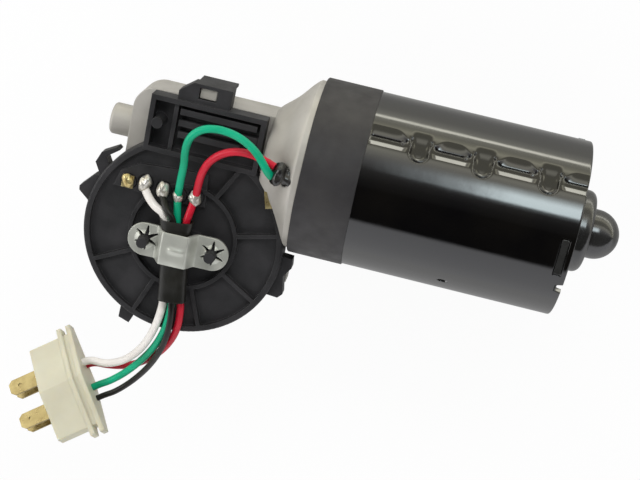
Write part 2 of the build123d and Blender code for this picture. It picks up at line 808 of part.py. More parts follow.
for brush_side, side_name in ((1, "upper"), (-1, "lower")):
    save(brush_at(brush_side), "brush_" + side_name)
    save(spring_at(brush_side), "brush_spring_" + side_name)

# ---------------------------------------------------------------- worm wheel
tooth_half = wheel_pitch_r * pi / wheel_teeth / 2 - backlash / 4


def wheel_section(turn):
    """Toothed outline of the wheel, turned by some degrees; a tooth stands on +Y at zero."""
    corners = []
    for tooth in range(wheel_teeth):
        centre = radians(90.0 + turn) + 2 * pi * tooth / wheel_teeth
        for radius, side in ((wheel_root_r, -1), (wheel_tip_r, -1), (wheel_tip_r, 1), (wheel_root_r, 1)):
            half = (tooth_half + (wheel_pitch_r - radius) * tan(radians(pressure_angle))) / radius
            corners.append((radius * cos(centre + side * half), radius * sin(centre + side * half)))
    with BuildSketch() as outline:
        with BuildLine():
            Polyline(*corners, close=True)
        make_face()
    return outline.sketch


with BuildPart() as wheel:
    with BuildSketch(Plane.XY.offset(wheel_bottom)):
        add(wheel_section(-wheel_twist / 2))
    with BuildSketch(Plane.XY.offset(wheel_top)):
        add(wheel_section(wheel_twist / 2))
    loft(ruled=True)
    # hub and contact ring stand above the web, which is open between its ribs
    with BuildSketch(Plane.XY.offset(hub_bottom)):
        Circle(hub_r)
    extrude(amount=hub_top - hub_bottom)
    with BuildSketch(Plane.XY.offset(web_high)):
        Circle(rim_inner_r)
        Circle(ring_outer_r, mode=Mode.SUBTRACT)
        for rib in range(web_ribs):
            with Locations(Location((0, 0), 360.0 / web_ribs * (rib + 0.5))):
                Rectangle(rim_inner_r + 1, rib_width, align=(Align.MIN, Align.CENTER), mode=Mode.SUBTRACT)
    extrude(amount=wheel_top - web_high, mode=Mode.SUBTRACT)
    with BuildSketch(Plane.XY.offset(web_high)):
        Circle(ring_inner_r)
        Circle(hub_r, mode=Mode.SUBTRACT)
    extrude(amount=wheel_top - web_high, mode=Mode.SUBTRACT)
    with BuildSketch(Plane.XY.offset(wheel_bottom)):
        Circle(rim_inner_r)
        Circle(hub_r, mode=Mode.SUBTRACT)
    extrude(amount=web_low - wheel_bottom, mode=Mode.SUBTRACT)
    with BuildSketch(Plane.XY.offset(hub_bottom - 1)):
        Circle(output_r)
    extrude(amount=hub_top - hub_bottom + 2, mode=Mode.SUBTRACT)
save(wheel, "worm_wheel")

with BuildPart() as contact_disc:
    with BuildSketch(Plane.XY.offset(wheel_top)):
        Circle(contact_outer_r)
        Circle(contact_inner_r, mode=Mode.SUBTRACT)
        add(sector(19.5, contact_outer_r + 1, -90 - park_notch_angle / 2, -90 + park_notch_angle / 2),
            mode=Mode.SUBTRACT)
    extrude(amount=contact_thickness)
save(contact_disc, "contact_disc")

# ---------------------------------------------------------------- output shaft
with BuildPart() as output_shaft:
    with BuildSketch(Plane.XZ):
        with BuildLine():
            Polyline((0, output_top), (output_r - 0.5, output_top), (output_r, output_top - 0.5),
                     (output_r, spindle_tube_end - washer_thickness - 0.2),
                     (circlip_groove_r, spindle_tube_end - washer_thickness - 0.2),
                     (circlip_groove_r, spindle_tube_end - washer_thickness - 0.3 - circlip_thickness),
                     (output_r, spindle_tube_end - washer_thickness - 0.3 - circlip_thickness),
                     (output_r, taper_start), (thread_r, taper_start), (thread_r, shaft_end + 0.8),
                     (thread_r - 0.8, shaft_end), (0, shaft_end), close=True)
        make_face()
    revolve(axis=Axis.Z)
    # fluted taper that bites into the wiper arm
    sections = []
    for level, radius in ((taper_start, output_r), (taper_end, taper_small_r)):
        flutes = []
        for flute in range(taper_flutes):
            for part_turn, depth in ((0.0, 0.0), (0.5, 0.35)):
                angle = 2 * pi * (flute + part_turn) / taper_flutes
                flutes.append(((radius - depth) * cos(angle), (radius - depth) * sin(angle)))
        with BuildSketch(Plane.XY.offset(level)):
            with BuildLine():
                Polyline(*flutes, close=True)
            make_face()
    loft(ruled=True)
save(output_shaft, "output_shaft")

shaft_washer = collar(spindle_tube_end - 0.1 - washer_thickness, spindle_tube_end - 0.1,
                      spindle_tube_r - 0.6, output_r + 0.2)
save(shaft_washer, "shaft_washer")

with BuildPart() as shaft_circlip:
    with BuildSketch(Plane.XY.offset(spindle_tube_end - washer_thickness - 0.25 - circlip_thickness)):
        Circle(circlip_r)
        Circle(circlip_groove_r + face_gap, mode=Mode.SUBTRACT)
        with Locations((circlip_r, 0)):
            Rectangle(6.0, 4.0, mode=Mode.SUBTRACT)
    extrude(amount=circlip_thickness)
save(shaft_circlip, "shaft_circlip")

thrust_washer = collar(floor_high, hub_bottom - body_gap, thrust_washer_r, output_r + 0.2)
save(thrust_washer, "thrust_washer")

# ---------------------------------------------------------------- gear cover
clamp_plane = Plane(origin=(clamp_centre[0], clamp_centre[1], 0),
                    x_dir=(cos(radians(clamp_angle)), sin(radians(clamp_angle)), 0), z_dir=(0, 0, 1))
tray_width = tray_right - tray_left
tray_depth = tray_high_y - tray_low_y
tray_centre = ((tray_left + tray_right) / 2, (tray_low_y + tray_high_y) / 2)
block_outline = ((-28.4, 13.5), (-26.5, 19.5), (-20.0, 23.6), (5.2, 25.6), (6.0, 13.2), (-5.0, 12.2))
clip_outline = ((-10.9, tray_high_y - 1), (-10.9, clip_outer_y - 3.8), (-6.1, clip_outer_y),
                (8.1, clip_outer_y), (8.1, tray_high_y - 1))
# angle of each snap hook, and its outline as (out from the rim, along the rim)
hooks = (
    (147.0, ((-0.7, 6.4), (4.4, 3.6), (5.2, -0.7), (2.4, -6.4), (1.0, -6.2), (2.9, -0.8), (-0.1, 0.8))),
    (168.0, ((-0.9, 5.7), (0.4, 3.3), (4.6, 1.1), (5.1, -0.4), (1.5, -6.7), (-1.2, -7.7), (-2.4, 5.3))),
    (246.0, ((-1.8, -4.4), (5.0, -1.6), (4.6, 2.8), (-2.0, 2.3))),
    (351.0, ((-3.2, 6.8), (3.1, 7.4), (4.0, 4.0), (2.2, -0.1), (4.4, -6.8), (3.1, -8.8), (-1.6, -9.2))))


def hook_points(angle, outline):
    """A hook's outline turned to its place on the rim."""
    turn = radians(angle)
    return [((cover_r + out) * cos(turn) - along * sin(turn),
             (cover_r + out) * sin(turn) + along * cos(turn))
            for out, along in outline]


with BuildPart() as cover:
    # round plate with a raised rim and a skirt that wraps the bowl
    with BuildSketch(Plane.XY.offset(cover_seat)):
        Circle(cover_r)
        with Locations(tray_centre):
            Rectangle(tray_width, tray_depth)
    extrude(amount=cover_plate - cover_seat)
    with BuildSketch(Plane.XY.offset(cover_plate)):
        Circle(cover_r)
        Circle(cover_r - cover_rim_wall, mode=Mode.SUBTRACT)
        Circle(inner_ring_r)
        Circle(inner_ring_r - rib_width, mode=Mode.SUBTRACT)
        for rib_angle in rib_angles:
            with Locations(Location((0, 0), rib_angle)):
                with Locations(((inner_ring_r + cover_r) / 2 - 1, 0)):
                    Rectangle(cover_r - inner_ring_r, rib_width)
        with Locations(tray_centre):
            Rectangle(tray_width, tray_depth, mode=Mode.SUBTRACT)
    extrude(amount=cover_rim_top - cover_plate)
    fillet(cover.edges().group_by(Axis.Z)[-1].sort_by(SortBy.LENGTH)[-1], 0.8)
    with BuildSketch(Plane.XY.offset(skirt_bottom)):
        Circle(cover_r)
        Circle(bowl_r + 0.4, mode=Mode.SUBTRACT)
        with Locations((0, box_low_y - body_gap)):
            Rectangle(3 * cover_r, 3 * cover_r, align=(Align.CENTER, Align.MIN), mode=Mode.SUBTRACT)
    extrude(amount=cover_seat - skirt_bottom)
    # snap hooks round the rim
    with BuildSketch(Plane.XY.offset(skirt_bottom + 2)):
        for hook_angle, outline in hooks:
            with BuildLine():
                Polyline(*hook_points(hook_angle, outline), close=True)
            make_face()
    extrude(amount=cover_plate - skirt_bottom - 2.6)
    # tray over the worm, with its bars and post
    with BuildSketch(Plane.XY.offset(cover_plate)):
        with Locations(tray_centre):
            Rectangle(tray_width, tray_depth)
            Rectangle(tray_width - 2 * tray_wall, tray_depth - 2 * tray_wall, mode=Mode.SUBTRACT)
    extrude(amount=tray_top - cover_plate)
    with BuildSketch(Plane.XY.offset(cover_seat + 2.0)):
        with Locations(tray_centre):
            Rectangle(tray_width - 2 * tray_wall, tray_depth - 2 * tray_wall)
    extrude(amount=10, mode=Mode.SUBTRACT)
    with BuildSketch(Plane.XY.offset(cover_seat + 1.5)):
        for bar_y, bar_left, bar_right in tray_bars:
            with Locations(((bar_left + bar_right) / 2, bar_y)):
                Rectangle(bar_right - bar_left, 2.2)
        with Locations((-10.6, tray_centre[1])):
            Rectangle(rib_width, tray_depth - tray_wall)
    extrude(amount=tray_top - 1.0 - cover_seat - 1.5)
    with BuildSketch(Plane.XY.offset(cover_seat + 1.5)):
        with Locations(post_place):
            Circle(post_r)
    extrude(amount=post_top - cover_seat - 1.5, taper=2)
    # terminal block with a collar round each terminal
    with BuildSketch(Plane.XY.offset(cover_plate - 0.5)):
        with BuildLine():
            Polyline(*block_outline, close=True)
        make_face()
    extrude(amount=block_top - cover_plate + 0.5)
    for place in terminal_places:
        with BuildSketch(Plane.XY.offset(cover_plate)):
            with Locations(place):
                Circle(3.0)
        extrude(amount=8, mode=Mode.SUBTRACT)
        with BuildSketch(Plane.XY.offset(cover_plate - 0.2)):
            with Locations(place):
                Circle(2.7)
        extrude(amount=terminal_top - 0.7 - cover_plate)
    # saddle under the sleeve, posts and pins for the clamp
    with BuildSketch(clamp_plane.offset(cover_plate - 0.5)):
        Rectangle(13.0, clamp_width - 2)
    extrude(amount=saddle_top - cover_plate + 0.5)
    with BuildSketch(clamp_plane.offset(cover_plate - 0.5)):
        with GridLocations(clamp_pin_spacing, 1, 2, 1):
            Circle(4.6)
    extrude(amount=clamp_foot - cover_plate + 0.5)
    with BuildSketch(clamp_plane.offset(clamp_foot - 1)):
        with GridLocations(clamp_pin_spacing, 1, 2, 1):
            Circle(clamp_pin_r)
    extrude(amount=clamp_pin_top - clamp_foot + 1)
    # clip that wraps the housing's top edge, with a window for the lug
    with BuildSketch(Plane.XY.offset(clip_low)):
        with BuildLine():
            Polyline(*clip_outline, close=True)
        make_face()
        with Locations((lug_x, (lug_from_y + lug_to_y) / 2)):
            Rectangle(lug_width + 2 * body_gap, lug_to_y - lug_from_y + 2 * body_gap, mode=Mode.SUBTRACT)
    extrude(amount=clip_height)
    with BuildSketch(Plane.XY.offset(joint_plane - 8.5)):
        with Locations((1.0, clip_outer_y - 0.2)):
            Rectangle(13.0, clip_outer_y - 0.2 - lug_to_y - body_gap, align=(Align.CENTER, Align.MAX))
    extrude(amount=clip_low + 1 - joint_plane + 8.5)
    with BuildSketch(Plane.XY.offset(joint_plane - 1)):
        with Locations((0, box_top_y + body_gap)):
            Rectangle(2 * bowl_r, 5.0, align=(Align.CENTER, Align.MAX))
    extrude(amount=gasket_thickness + 1, mode=Mode.SUBTRACT)
    # hollow underside over the wheel and the worm
    with BuildSketch(Plane.XY.offset(cover_seat)):
        Circle(bowl_r - bowl_wall)
        with Locations((0, tray_low_y)):
            Rectangle(2 * cover_r, cover_r, align=(Align.CENTER, Align.MIN), mode=Mode.SUBTRACT)
    extrude(amount=cover_plate - cover_wall - cover_seat, mode=Mode.SUBTRACT)
    # terminal slots
    for place in terminal_places:
        with BuildSketch(Plane.XY.offset(cover_seat)):
            with Locations(place):
                Rectangle(terminal_width, terminal_sheet)
        extrude(amount=12, mode=Mode.SUBTRACT)
save(cover, "gear_cover")

with BuildPart() as gasket:
    with BuildSketch(Plane.XY.offset(joint_plane)):
        Circle(bowl_r - 0.4)
        with Locations((tray_centre[0], tray_high_y - 0.2)):
            Rectangle(tray_width - 0.4, tray_depth + 5.3, align=(Align.CENTER, Align.MAX))
        Circle(bowl_r - bowl_wall + 0.2, mode=Mode.SUBTRACT)
        with Locations(((channel_left + channel_right) / 2, channel_high_y)):
            Rectangle(channel_right - channel_left, 2 * (channel_high_y - box_low_y),
                      align=(Align.CENTER, Align.MAX), mode=Mode.SUBTRACT)
    extrude(amount=gasket_thickness)
save(gasket, "cover_gasket")

# ---------------------------------------------------------------- terminals and contact fingers
with BuildPart() as terminals:
    for place in terminal_places:
        with BuildSketch(Plane.XY.offset(cover_plate - cover_wall)):
            with Locations(place):
                Rectangle(terminal_width, terminal_sheet)
        extrude(amount=terminal_top - cover_plate + cover_wall)
    with BuildSketch(Plane.XY.offset(terminal_top)):
        with Locations((terminal_places[0][0], terminal_places[0][1] + 0.6)):
            Rectangle(4.2, 4.6)
    extrude(amount=1.0)
save(terminals, "terminals")

with BuildPart() as solder:
    for place, (width, length) in zip(terminal_places[1:], solder_lumps):
        lump_plane = Plane(origin=(place[0], place[1], solder_height), x_dir=(0, 1, 0), z_dir=(0, 0, 1))
        with BuildSketch(lump_plane):
            SlotOverall(length, width)
            Rectangle(length, width, align=(Align.CENTER, Align.MAX), mode=Mode.SUBTRACT)
        revolve(axis=Axis(lump_plane.origin, lump_plane.x_dir))
    with BuildSketch(Plane.XY.offset(terminal_top)):
        Rectangle(4 * bowl_r, 4 * bowl_r)
    extrude(amount=-solder_height, mode=Mode.SUBTRACT)
save(solder, "solder_joints")

finger_tracks = (13.9, 17.6, 21.4)
finger_sheet = 0.4
finger_top = cover_plate - cover_wall
finger_low = contact_top + body_gap
with BuildPart() as fingers:
    for track in finger_tracks:
        with BuildSketch(Plane.XZ.offset(-track)):
            with BuildLine():
                Polyline((-15.0, finger_top), (-9.0, finger_top), (1.0, finger_low + finger_sheet),
                         (2.3, finger_low + 1.1), (2.6, finger_low + 0.8), (1.0, finger_low),
                         (-9.1, finger_top - finger_sheet), (-15.0, finger_top - finger_sheet), close=True)
            make_face()
        extrude(amount=-2.4)
save(fingers, "contact_fingers")

# ---------------------------------------------------------------- clamp and sleeve
# the bridge stands over the sleeve's own line and leans in from its foot to its top;
# its skin is the sheet measured level
sleeve_part = (clamp_centre[1] - sleeve_from[1]) / (sleeve_to[1] - sleeve_from[1])
bridge_shift = sleeve_from[0] + sleeve_part * (sleeve_to[0] - sleeve_from[0]) - clamp_centre[0]
bridge_half = sleeve_width / 2
bridge_foot = sleeve_width / 2 + 1.7
bridge_low = saddle_top + 0.1 + sleeve_height + 0.2
bridge_rise = bridge_low - clamp_foot
bridge_lean = bridge_foot - bridge_half
bridge_skin = clamp_sheet * (hypot(bridge_rise, bridge_lean) - bridge_lean) / bridge_rise
with BuildPart() as clamp:
    with BuildSketch(clamp_plane.offset(clamp_foot)):
        SlotOverall(clamp_length, clamp_width)
    extrude(amount=bridge_rise + 2 * clamp_sheet)
    with BuildSketch(Plane(origin=clamp_plane.origin - clamp_plane.y_dir * clamp_width,
                           x_dir=clamp_plane.x_dir, z_dir=clamp_plane.y_dir * -1)):
        with BuildLine():
            Polyline((-clamp_length, clamp_foot), (bridge_shift - bridge_foot, clamp_foot),
                     (bridge_shift - bridge_half, bridge_low), (bridge_shift + bridge_half, bridge_low),
                     (bridge_shift + bridge_foot, clamp_foot), (clamp_length, clamp_foot),
                     (clamp_length, clamp_foot + clamp_sheet),
                     (bridge_shift + bridge_foot + bridge_skin, clamp_foot + clamp_sheet),
                     (bridge_shift + bridge_half + bridge_skin, bridge_low + clamp_sheet),
                     (bridge_shift - bridge_half - bridge_skin, bridge_low + clamp_sheet),
                     (bridge_shift - bridge_foot - bridge_skin, clamp_foot + clamp_sheet),
                     (-clamp_length, clamp_foot + clamp_sheet), close=True)
        bridge_face = make_face()
        shoulders = bridge_face.vertices().group_by(Axis.Y)
        fillet(shoulders[-1], bridge_corner + clamp_sheet)
        fillet(shoulders[-2], bridge_corner)
    extrude(amount=-2 * clamp_width, mode=Mode.INTERSECT)
    with BuildSketch(clamp_plane.offset(clamp_foot)):
        with GridLocations(clamp_pin_spacing, 1, 2, 1):
            Circle(clamp_pin_r + 0.05)
            for turn in (30, 90, 150):
                Rectangle(7.2, 0.7, rotation=turn)
    extrude(amount=clamp_sheet, mode=Mode.SUBTRACT)
save(clamp, "cable_clamp")

sleeve_vector = Vector(sleeve_to[0] - sleeve_from[0], sleeve_to[1] - sleeve_from[1], 0)
sleeve_plane = Plane(origin=(sleeve_from[0], sleeve_from[1], saddle_top + 0.1 + sleeve_height / 2),
                     x_dir=Vector(0, 0, 1).cross(sleeve_vector), z_dir=sleeve_vector)
with BuildPart() as sleeve:
    for inset, kind in ((0.0, Mode.ADD), (sleeve_wall, Mode.SUBTRACT)):
        for start, width in ((0.0, sleeve_mouth), (sleeve_flare, sleeve_width)):
            with BuildSketch(sleeve_plane.offset(start)):
                RectangleRounded(width - 2 * inset, sleeve_height - 2 * inset, sleeve_corner - inset)
        loft(mode=kind)
        with BuildSketch(sleeve_plane.offset(sleeve_flare)):
            RectangleRounded(sleeve_width - 2 * inset, sleeve_height - 2 * inset, sleeve_corner - inset)
        extrude(amount=sleeve_vector.length - sleeve_flare, mode=kind)
save(sleeve, "wire_sleeve")

# ---------------------------------------------------------------- plug
plug_plane = Plane(origin=plug_origin, x_dir=plug_up, z_dir=plug_axis)


def spindle(half_height, half_depth, tip_half):
    """Long six-sided outline, widest at its middle."""
    with BuildSketch() as outline:
        with BuildLine():
            Polyline((half_height, -tip_half), (half_height, tip_half), (0, half_depth),
                     (-half_height, tip_half), (-half_height, -tip_half), (0, -half_depth), close=True)
        make_face()
    return outline.sketch


with BuildPart() as plug_housing:
    with BuildSketch(plug_plane):
        add(spindle(plug_half_height, plug_half_depth, plug_tip_half))
    extrude(amount=plug_front)
    for start in (0.0, flange_pitch):
        with BuildSketch(plug_plane.offset(start)):
            add(spindle(flange_half_height, flange_half_depth, flange_tip_half))
        extrude(amount=flange_thickness)
    with BuildSketch(plug_plane.offset(plug_front - blade_in)):
        for column in blade_columns:
            for row in blade_rows:
                with Locations((column, row)):
                    Rectangle(blade_width + 0.1, blade_sheet + 0.1)
    extrude(amount=blade_in + 1, mode=Mode.SUBTRACT)
save(plug_housing, "plug_housing")

with BuildPart() as plug_blades:
    for column in blade_columns:
        for row in blade_rows:
            blade_plane = Plane(origin=plug_plane.from_local_coords((column, row + blade_sheet / 2, 0)),
                                x_dir=plug_plane.x_dir, z_dir=plug_plane.y_dir * -1)
            root = plug_front - blade_in + 0.1
            tip = plug_front + blade_out
            with BuildSketch(blade_plane):
                with BuildLine():
                    Polyline((-blade_width / 2, root), (blade_width / 2, root),
                             (blade_width / 2, tip - 1.6), (blade_width / 2 - 1.4, tip),
                             (1.4 - blade_width / 2, tip), (-blade_width / 2, tip - 1.6), close=True)
                make_face()
                with Locations((0, tip - 4.4)):
                    Circle(0.75, mode=Mode.SUBTRACT)
            extrude(amount=blade_sheet)
save(plug_blades, "plug_blades")

# ---------------------------------------------------------------- wires
def plug_entry(place, standoff):
    """Centre of a wire hole on the plug's back face, or a point straight behind it."""
    return tuple(plug_plane.from_local_coords((place[0], place[1], -standoff)))


def over(x, y, height):
    """A point of a route, given by its height over the cover's plate."""
    return (x, y, cover_plate + height)


def bend_radii(route):
    """Radius at each corner: as large as its two runs allow."""
    radii = []
    for before, corner, after in zip(route, route[1:], route[2:]):
        run_in, run_out = Vector(*corner) - Vector(*before), Vector(*after) - Vector(*corner)
        half_turn = radians(run_in.get_angle(run_out)) / 2
        radii.append(0.45 * min(run_in.length, run_out.length) / tan(half_turn))
    return radii


def wire(route, radius, name):
    """Round wire along a hand-chosen route of runs joined by tangent arcs."""
    radii = bend_radii(route)
    with BuildPart() as lead:
        with BuildLine() as path:
            FilletPolyline(*route, radius=radii)
        with BuildSketch(Plane(origin=path.line @ 0, z_dir=path.line % 0)):
            Circle(radius)
        sweep(path=path.line)
    length = sum(edge.length for edge in path.edges())
    print(name, "length", round(length, 1), "smallest bend", round(min(radii), 1),
          "volume over section times length", round(lead.part.volume / (pi * radius ** 2 * length), 4))
    save(lead, name)


def sleeve_lane(across_lane, height, along):
    """A point in the sleeve; along is counted from its upper mouth."""
    return tuple(sleeve_plane.from_local_coords((across_lane, height, along)))


sleeve_length = sleeve_vector.length
wire((
    over(-16.4, 15.8, 3.8), over(-13.1, 11.0, 5.5), sleeve_lane(-3.05, -0.9, -0.8),
    sleeve_lane(-3.05, -0.9, sleeve_length - 0.5), over(-2.1, -29.6, 5.6), over(-3.7, -37.8, 4.0),
    over(-7.4, -47.8, -0.6), over(-13.2, -56.8, -6.6), over(-19.3, -62.5, -11.4), over(-24.5, -65.3, -14.4),
    plug_entry(white_entry, entry_stub), plug_entry(white_entry, 0.0)), lead_white_r, "lead_white")
wire((
    over(2.0, 15.4, 3.8), over(1.5, 10.4, 5.8), sleeve_lane(2.95, -0.9, 1.0),
    sleeve_lane(2.95, -0.9, sleeve_length - 0.5), over(5.1, -26.8, 5.7), over(5.0, -35.0, 4.6),
    over(1.9, -44.1, 0.4), over(-4.1, -53.6, -6.0), over(-10.8, -60.8, -12.0), over(-17.6, -65.4, -16.1),
    over(-23.2, -67.4, -18.2),
    plug_entry(red_entry, entry_stub), plug_entry(red_entry, 0.0)), lead_colour_r, "lead_red")
wire((
    over(-3.9, 14.4, 3.8), over(-2.8, 9.8, 5.6), sleeve_lane(0.0, -1.2, 3.0),
    sleeve_lane(0.0, -1.2, sleeve_length - 0.5), over(1.3, -28.7, 5.5), over(0.3, -36.8, 3.8),
    over(-2.9, -46.3, -0.3), over(-8.2, -56.2, -6.0), over(-14.1, -64.8, -10.1), over(-19.6, -70.5, -11.6),
    plug_entry(green_entry, entry_stub), plug_entry(green_entry, 0.0)), lead_colour_r, "lead_green")
wire((
    over(-9.7, 15.4, 3.8), over(-7.4, 11.5, 8.0), sleeve_lane(0.1, 1.45, 0.0),
    sleeve_lane(0.1, 1.45, sleeve_length - 0.5), over(2.3, -27.4, 8.1), over(2.2, -36.3, 6.4),
    over(-0.2, -46.7, 2.0), over(-4.7, -57.4, -4.0), over(-10.8, -67.2, -8.7), over(-16.6, -73.7, -10.0),
    plug_entry(black_entry, entry_stub), plug_entry(black_entry, 0.0)), lead_black_r, "lead_black")

# grommet in the neck, with the two jumpers that end in it
with BuildPart() as grommet:
    with BuildSketch(grommet_plane.offset(grommet_pad + face_gap)):
        Circle(grommet_r)
    extrude(amount=grommet_height)
    fillet(grommet.edges(), 0.6)
    with BuildSketch(grommet_plane.offset(grommet_pad + 1)):
        Circle(grommet_neck_r - face_gap)
    extrude(amount=-grommet_neck)
save(grommet, "grommet")


def grommet_entry(side):
    """Where a jumper meets the grommet's face."""
    return tuple(grommet_plane.from_local_coords((side, 0, grommet_pad + face_gap + grommet_height)))


wire((
    over(-4.0, 16.6, 4.2), over(-3.7, 22.9, 6.6), over(-3.0, 29.4, 9.1), over(-3.3, 35.6, 11.4),
    over(-2.3, 41.0, 12.8), over(1.3, 44.9, 13.6), over(6.5, 46.7, 14.4), over(12.4, 46.7, 15.6),
    over(17.4, 45.7, 17.4), over(21.6, 43.7, 18.8), over(25.0, 40.6, 19.4), over(27.2, 37.4, 18.8),
    grommet_entry(-entry_half)), lead_colour_r, "jumper_green")
wire((
    over(2.4, 17.6, 4.2), over(2.8, 22.1, 6.2), over(3.5, 27.8, 8.2), over(5.6, 33.3, 10.0),
    over(9.8, 37.6, 11.6), over(14.7, 40.0, 12.8), over(19.9, 40.7, 14.2), over(25.0, 40.1, 15.4),
    grommet_entry(entry_half)), lead_colour_r, "jumper_red")

# earth tab on the rim beside the grommet
with BuildPart() as earth_tab:
    with BuildSketch(tab_plane):
        Rectangle(tab_length, earth_tab_width)
    extrude(amount=blade_sheet)
save(earth_tab, "earth_tab")
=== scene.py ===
import math
import bmesh
import bpy
import numpy as np
from mathutils import Matrix, Vector


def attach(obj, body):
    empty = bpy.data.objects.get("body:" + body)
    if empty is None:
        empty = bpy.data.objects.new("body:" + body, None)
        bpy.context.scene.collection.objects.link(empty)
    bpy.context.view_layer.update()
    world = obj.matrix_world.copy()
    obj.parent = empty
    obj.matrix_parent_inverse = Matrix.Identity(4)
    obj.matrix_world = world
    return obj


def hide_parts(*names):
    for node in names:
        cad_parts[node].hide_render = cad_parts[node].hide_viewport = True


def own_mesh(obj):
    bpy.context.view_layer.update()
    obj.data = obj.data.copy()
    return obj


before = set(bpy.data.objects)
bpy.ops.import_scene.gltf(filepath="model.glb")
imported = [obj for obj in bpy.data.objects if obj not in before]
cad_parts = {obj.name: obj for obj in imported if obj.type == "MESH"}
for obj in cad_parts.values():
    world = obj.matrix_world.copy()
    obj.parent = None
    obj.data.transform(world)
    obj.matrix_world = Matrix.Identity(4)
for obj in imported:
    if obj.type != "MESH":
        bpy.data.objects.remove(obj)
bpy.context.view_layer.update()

mm = 0.001
motorLine = np.array([0.0, 34.0, 20.0])  # a point on the motor's axis, which runs along X

cameraFacts = {
    "place": (0.07764, 0.18171, 0.51353),
    "right": (0.9694, 0.2075, -0.1310),
    "up": (-0.2390, 0.9196, -0.3119),
    "back": (0.0558, 0.3336, 0.9410),
    "lens": 79.678, "sensor": 36.0, "near": 0.01, "far": 20.0,
}


def setCamera(facts):
    data = bpy.data.cameras.new("viewCamera")
    data.lens, data.sensor_width, data.sensor_fit = facts["lens"], facts["sensor"], "HORIZONTAL"
    data.clip_start, data.clip_end = facts["near"], facts["far"]
    camera = bpy.data.objects.new("viewCamera", data)
    bpy.context.scene.collection.objects.link(camera)
    turn = Matrix((facts["right"], facts["up"], facts["back"])).transposed()
    camera.matrix_world = Matrix.Translation(facts["place"]) @ turn.to_4x4()
    bpy.context.scene.camera = camera


# only panelLeft is mirrored in polished faces; the world's ring stands for the other two
lampFacts = {
    "panelFront": {"place": (0.10, 0.62, 0.52), "aim": (0.08, 0.03, 0.02), "size": (0.50, 0.17),
                   "power": 3.2, "shines": False},
    "panelLeft": {"place": (-0.62, 0.05, 0.42), "aim": (0.02, 0.0, 0.02), "size": (0.5, 0.5),
                  "power": 2.4, "shines": True},
    "panelBelow": {"place": (0.10, -0.66, 0.50), "aim": (0.02, 0.0, 0.02), "size": (0.7, 0.4),
                   "power": 2.0, "shines": False},
}


def addLamps(facts):
    for name, lamp in facts.items():
        data = bpy.data.lights.new(name, "AREA")
        data.shape, data.size, data.size_y = "RECTANGLE", lamp["size"][0], lamp["size"][1]
        data.energy = lamp["power"]
        thing = bpy.data.objects.new(name, data)
        bpy.context.scene.collection.objects.link(thing)
        thing.location = lamp["place"]
        aim = Vector(lamp["aim"]) - Vector(lamp["place"])
        thing.rotation_euler = aim.to_track_quat("-Z", "Y").to_euler()
        thing.visible_camera = False
        thing.visible_glossy = lamp["shines"]


# ring: degrees about X from +Y, brightness and warmth, as polished faces see the room
# window and across: a bright pane's strength over the same angle and over the direction's X
skyFacts = {
    "plain": 0.40,
    "ring": (
        (-180, 1.0, 0.0), (-162, 0.85, 0.0), (-138, 0.6, 0.0), (-120, 0.45, 0.0), (-60, 0.5, 0.2),
        (-48, 0.62, 0.3), (-34, 0.8, 0.4), (-24, 1.25, 0.5), (-20.4, 1.6, 0.6), (-19.4, 5.6, 0.6),
        (-16.8, 5.6, 0.6), (-15.6, 1.4, 0.7), (-8, 1.2, 0.8), (-3, 1.6, 1.0), (-0.6, 2.3, 1.0),
        (4, 1.4, 1.0), (9, 0.6, 1.0), (27, 0.6, 0.8), (32, 1.7, 0.7), (38, 1.3, 0.5), (50, 0.6, 0.0),
        (62, 0.16, 0.0), (74, 0.05, 0.0), (86, 0.0, 0.0), (128, 0.0, 0.0), (133, 0.9, -0.2),
        (150, 0.95, -0.2), (180, 1.0, -0.1),
    ),
    "window": ((-180, 0.0), (38, 0.0), (44, 0.35), (50, 1.0), (59, 1.0), (62, 0.10), (66, 0.0)),
    "across": ((-1.0, 0.0), (-0.03, 0.0), (0.02, 0.2), (0.04, 0.4), (0.062, 1.0), (0.20, 1.0), (0.30, 0.0)),
    "windowLevel": 7.0, "windowTint": (0.84, 0.97, 1.0), "warmGreen": 0.03, "warmBlue": 0.24,
}


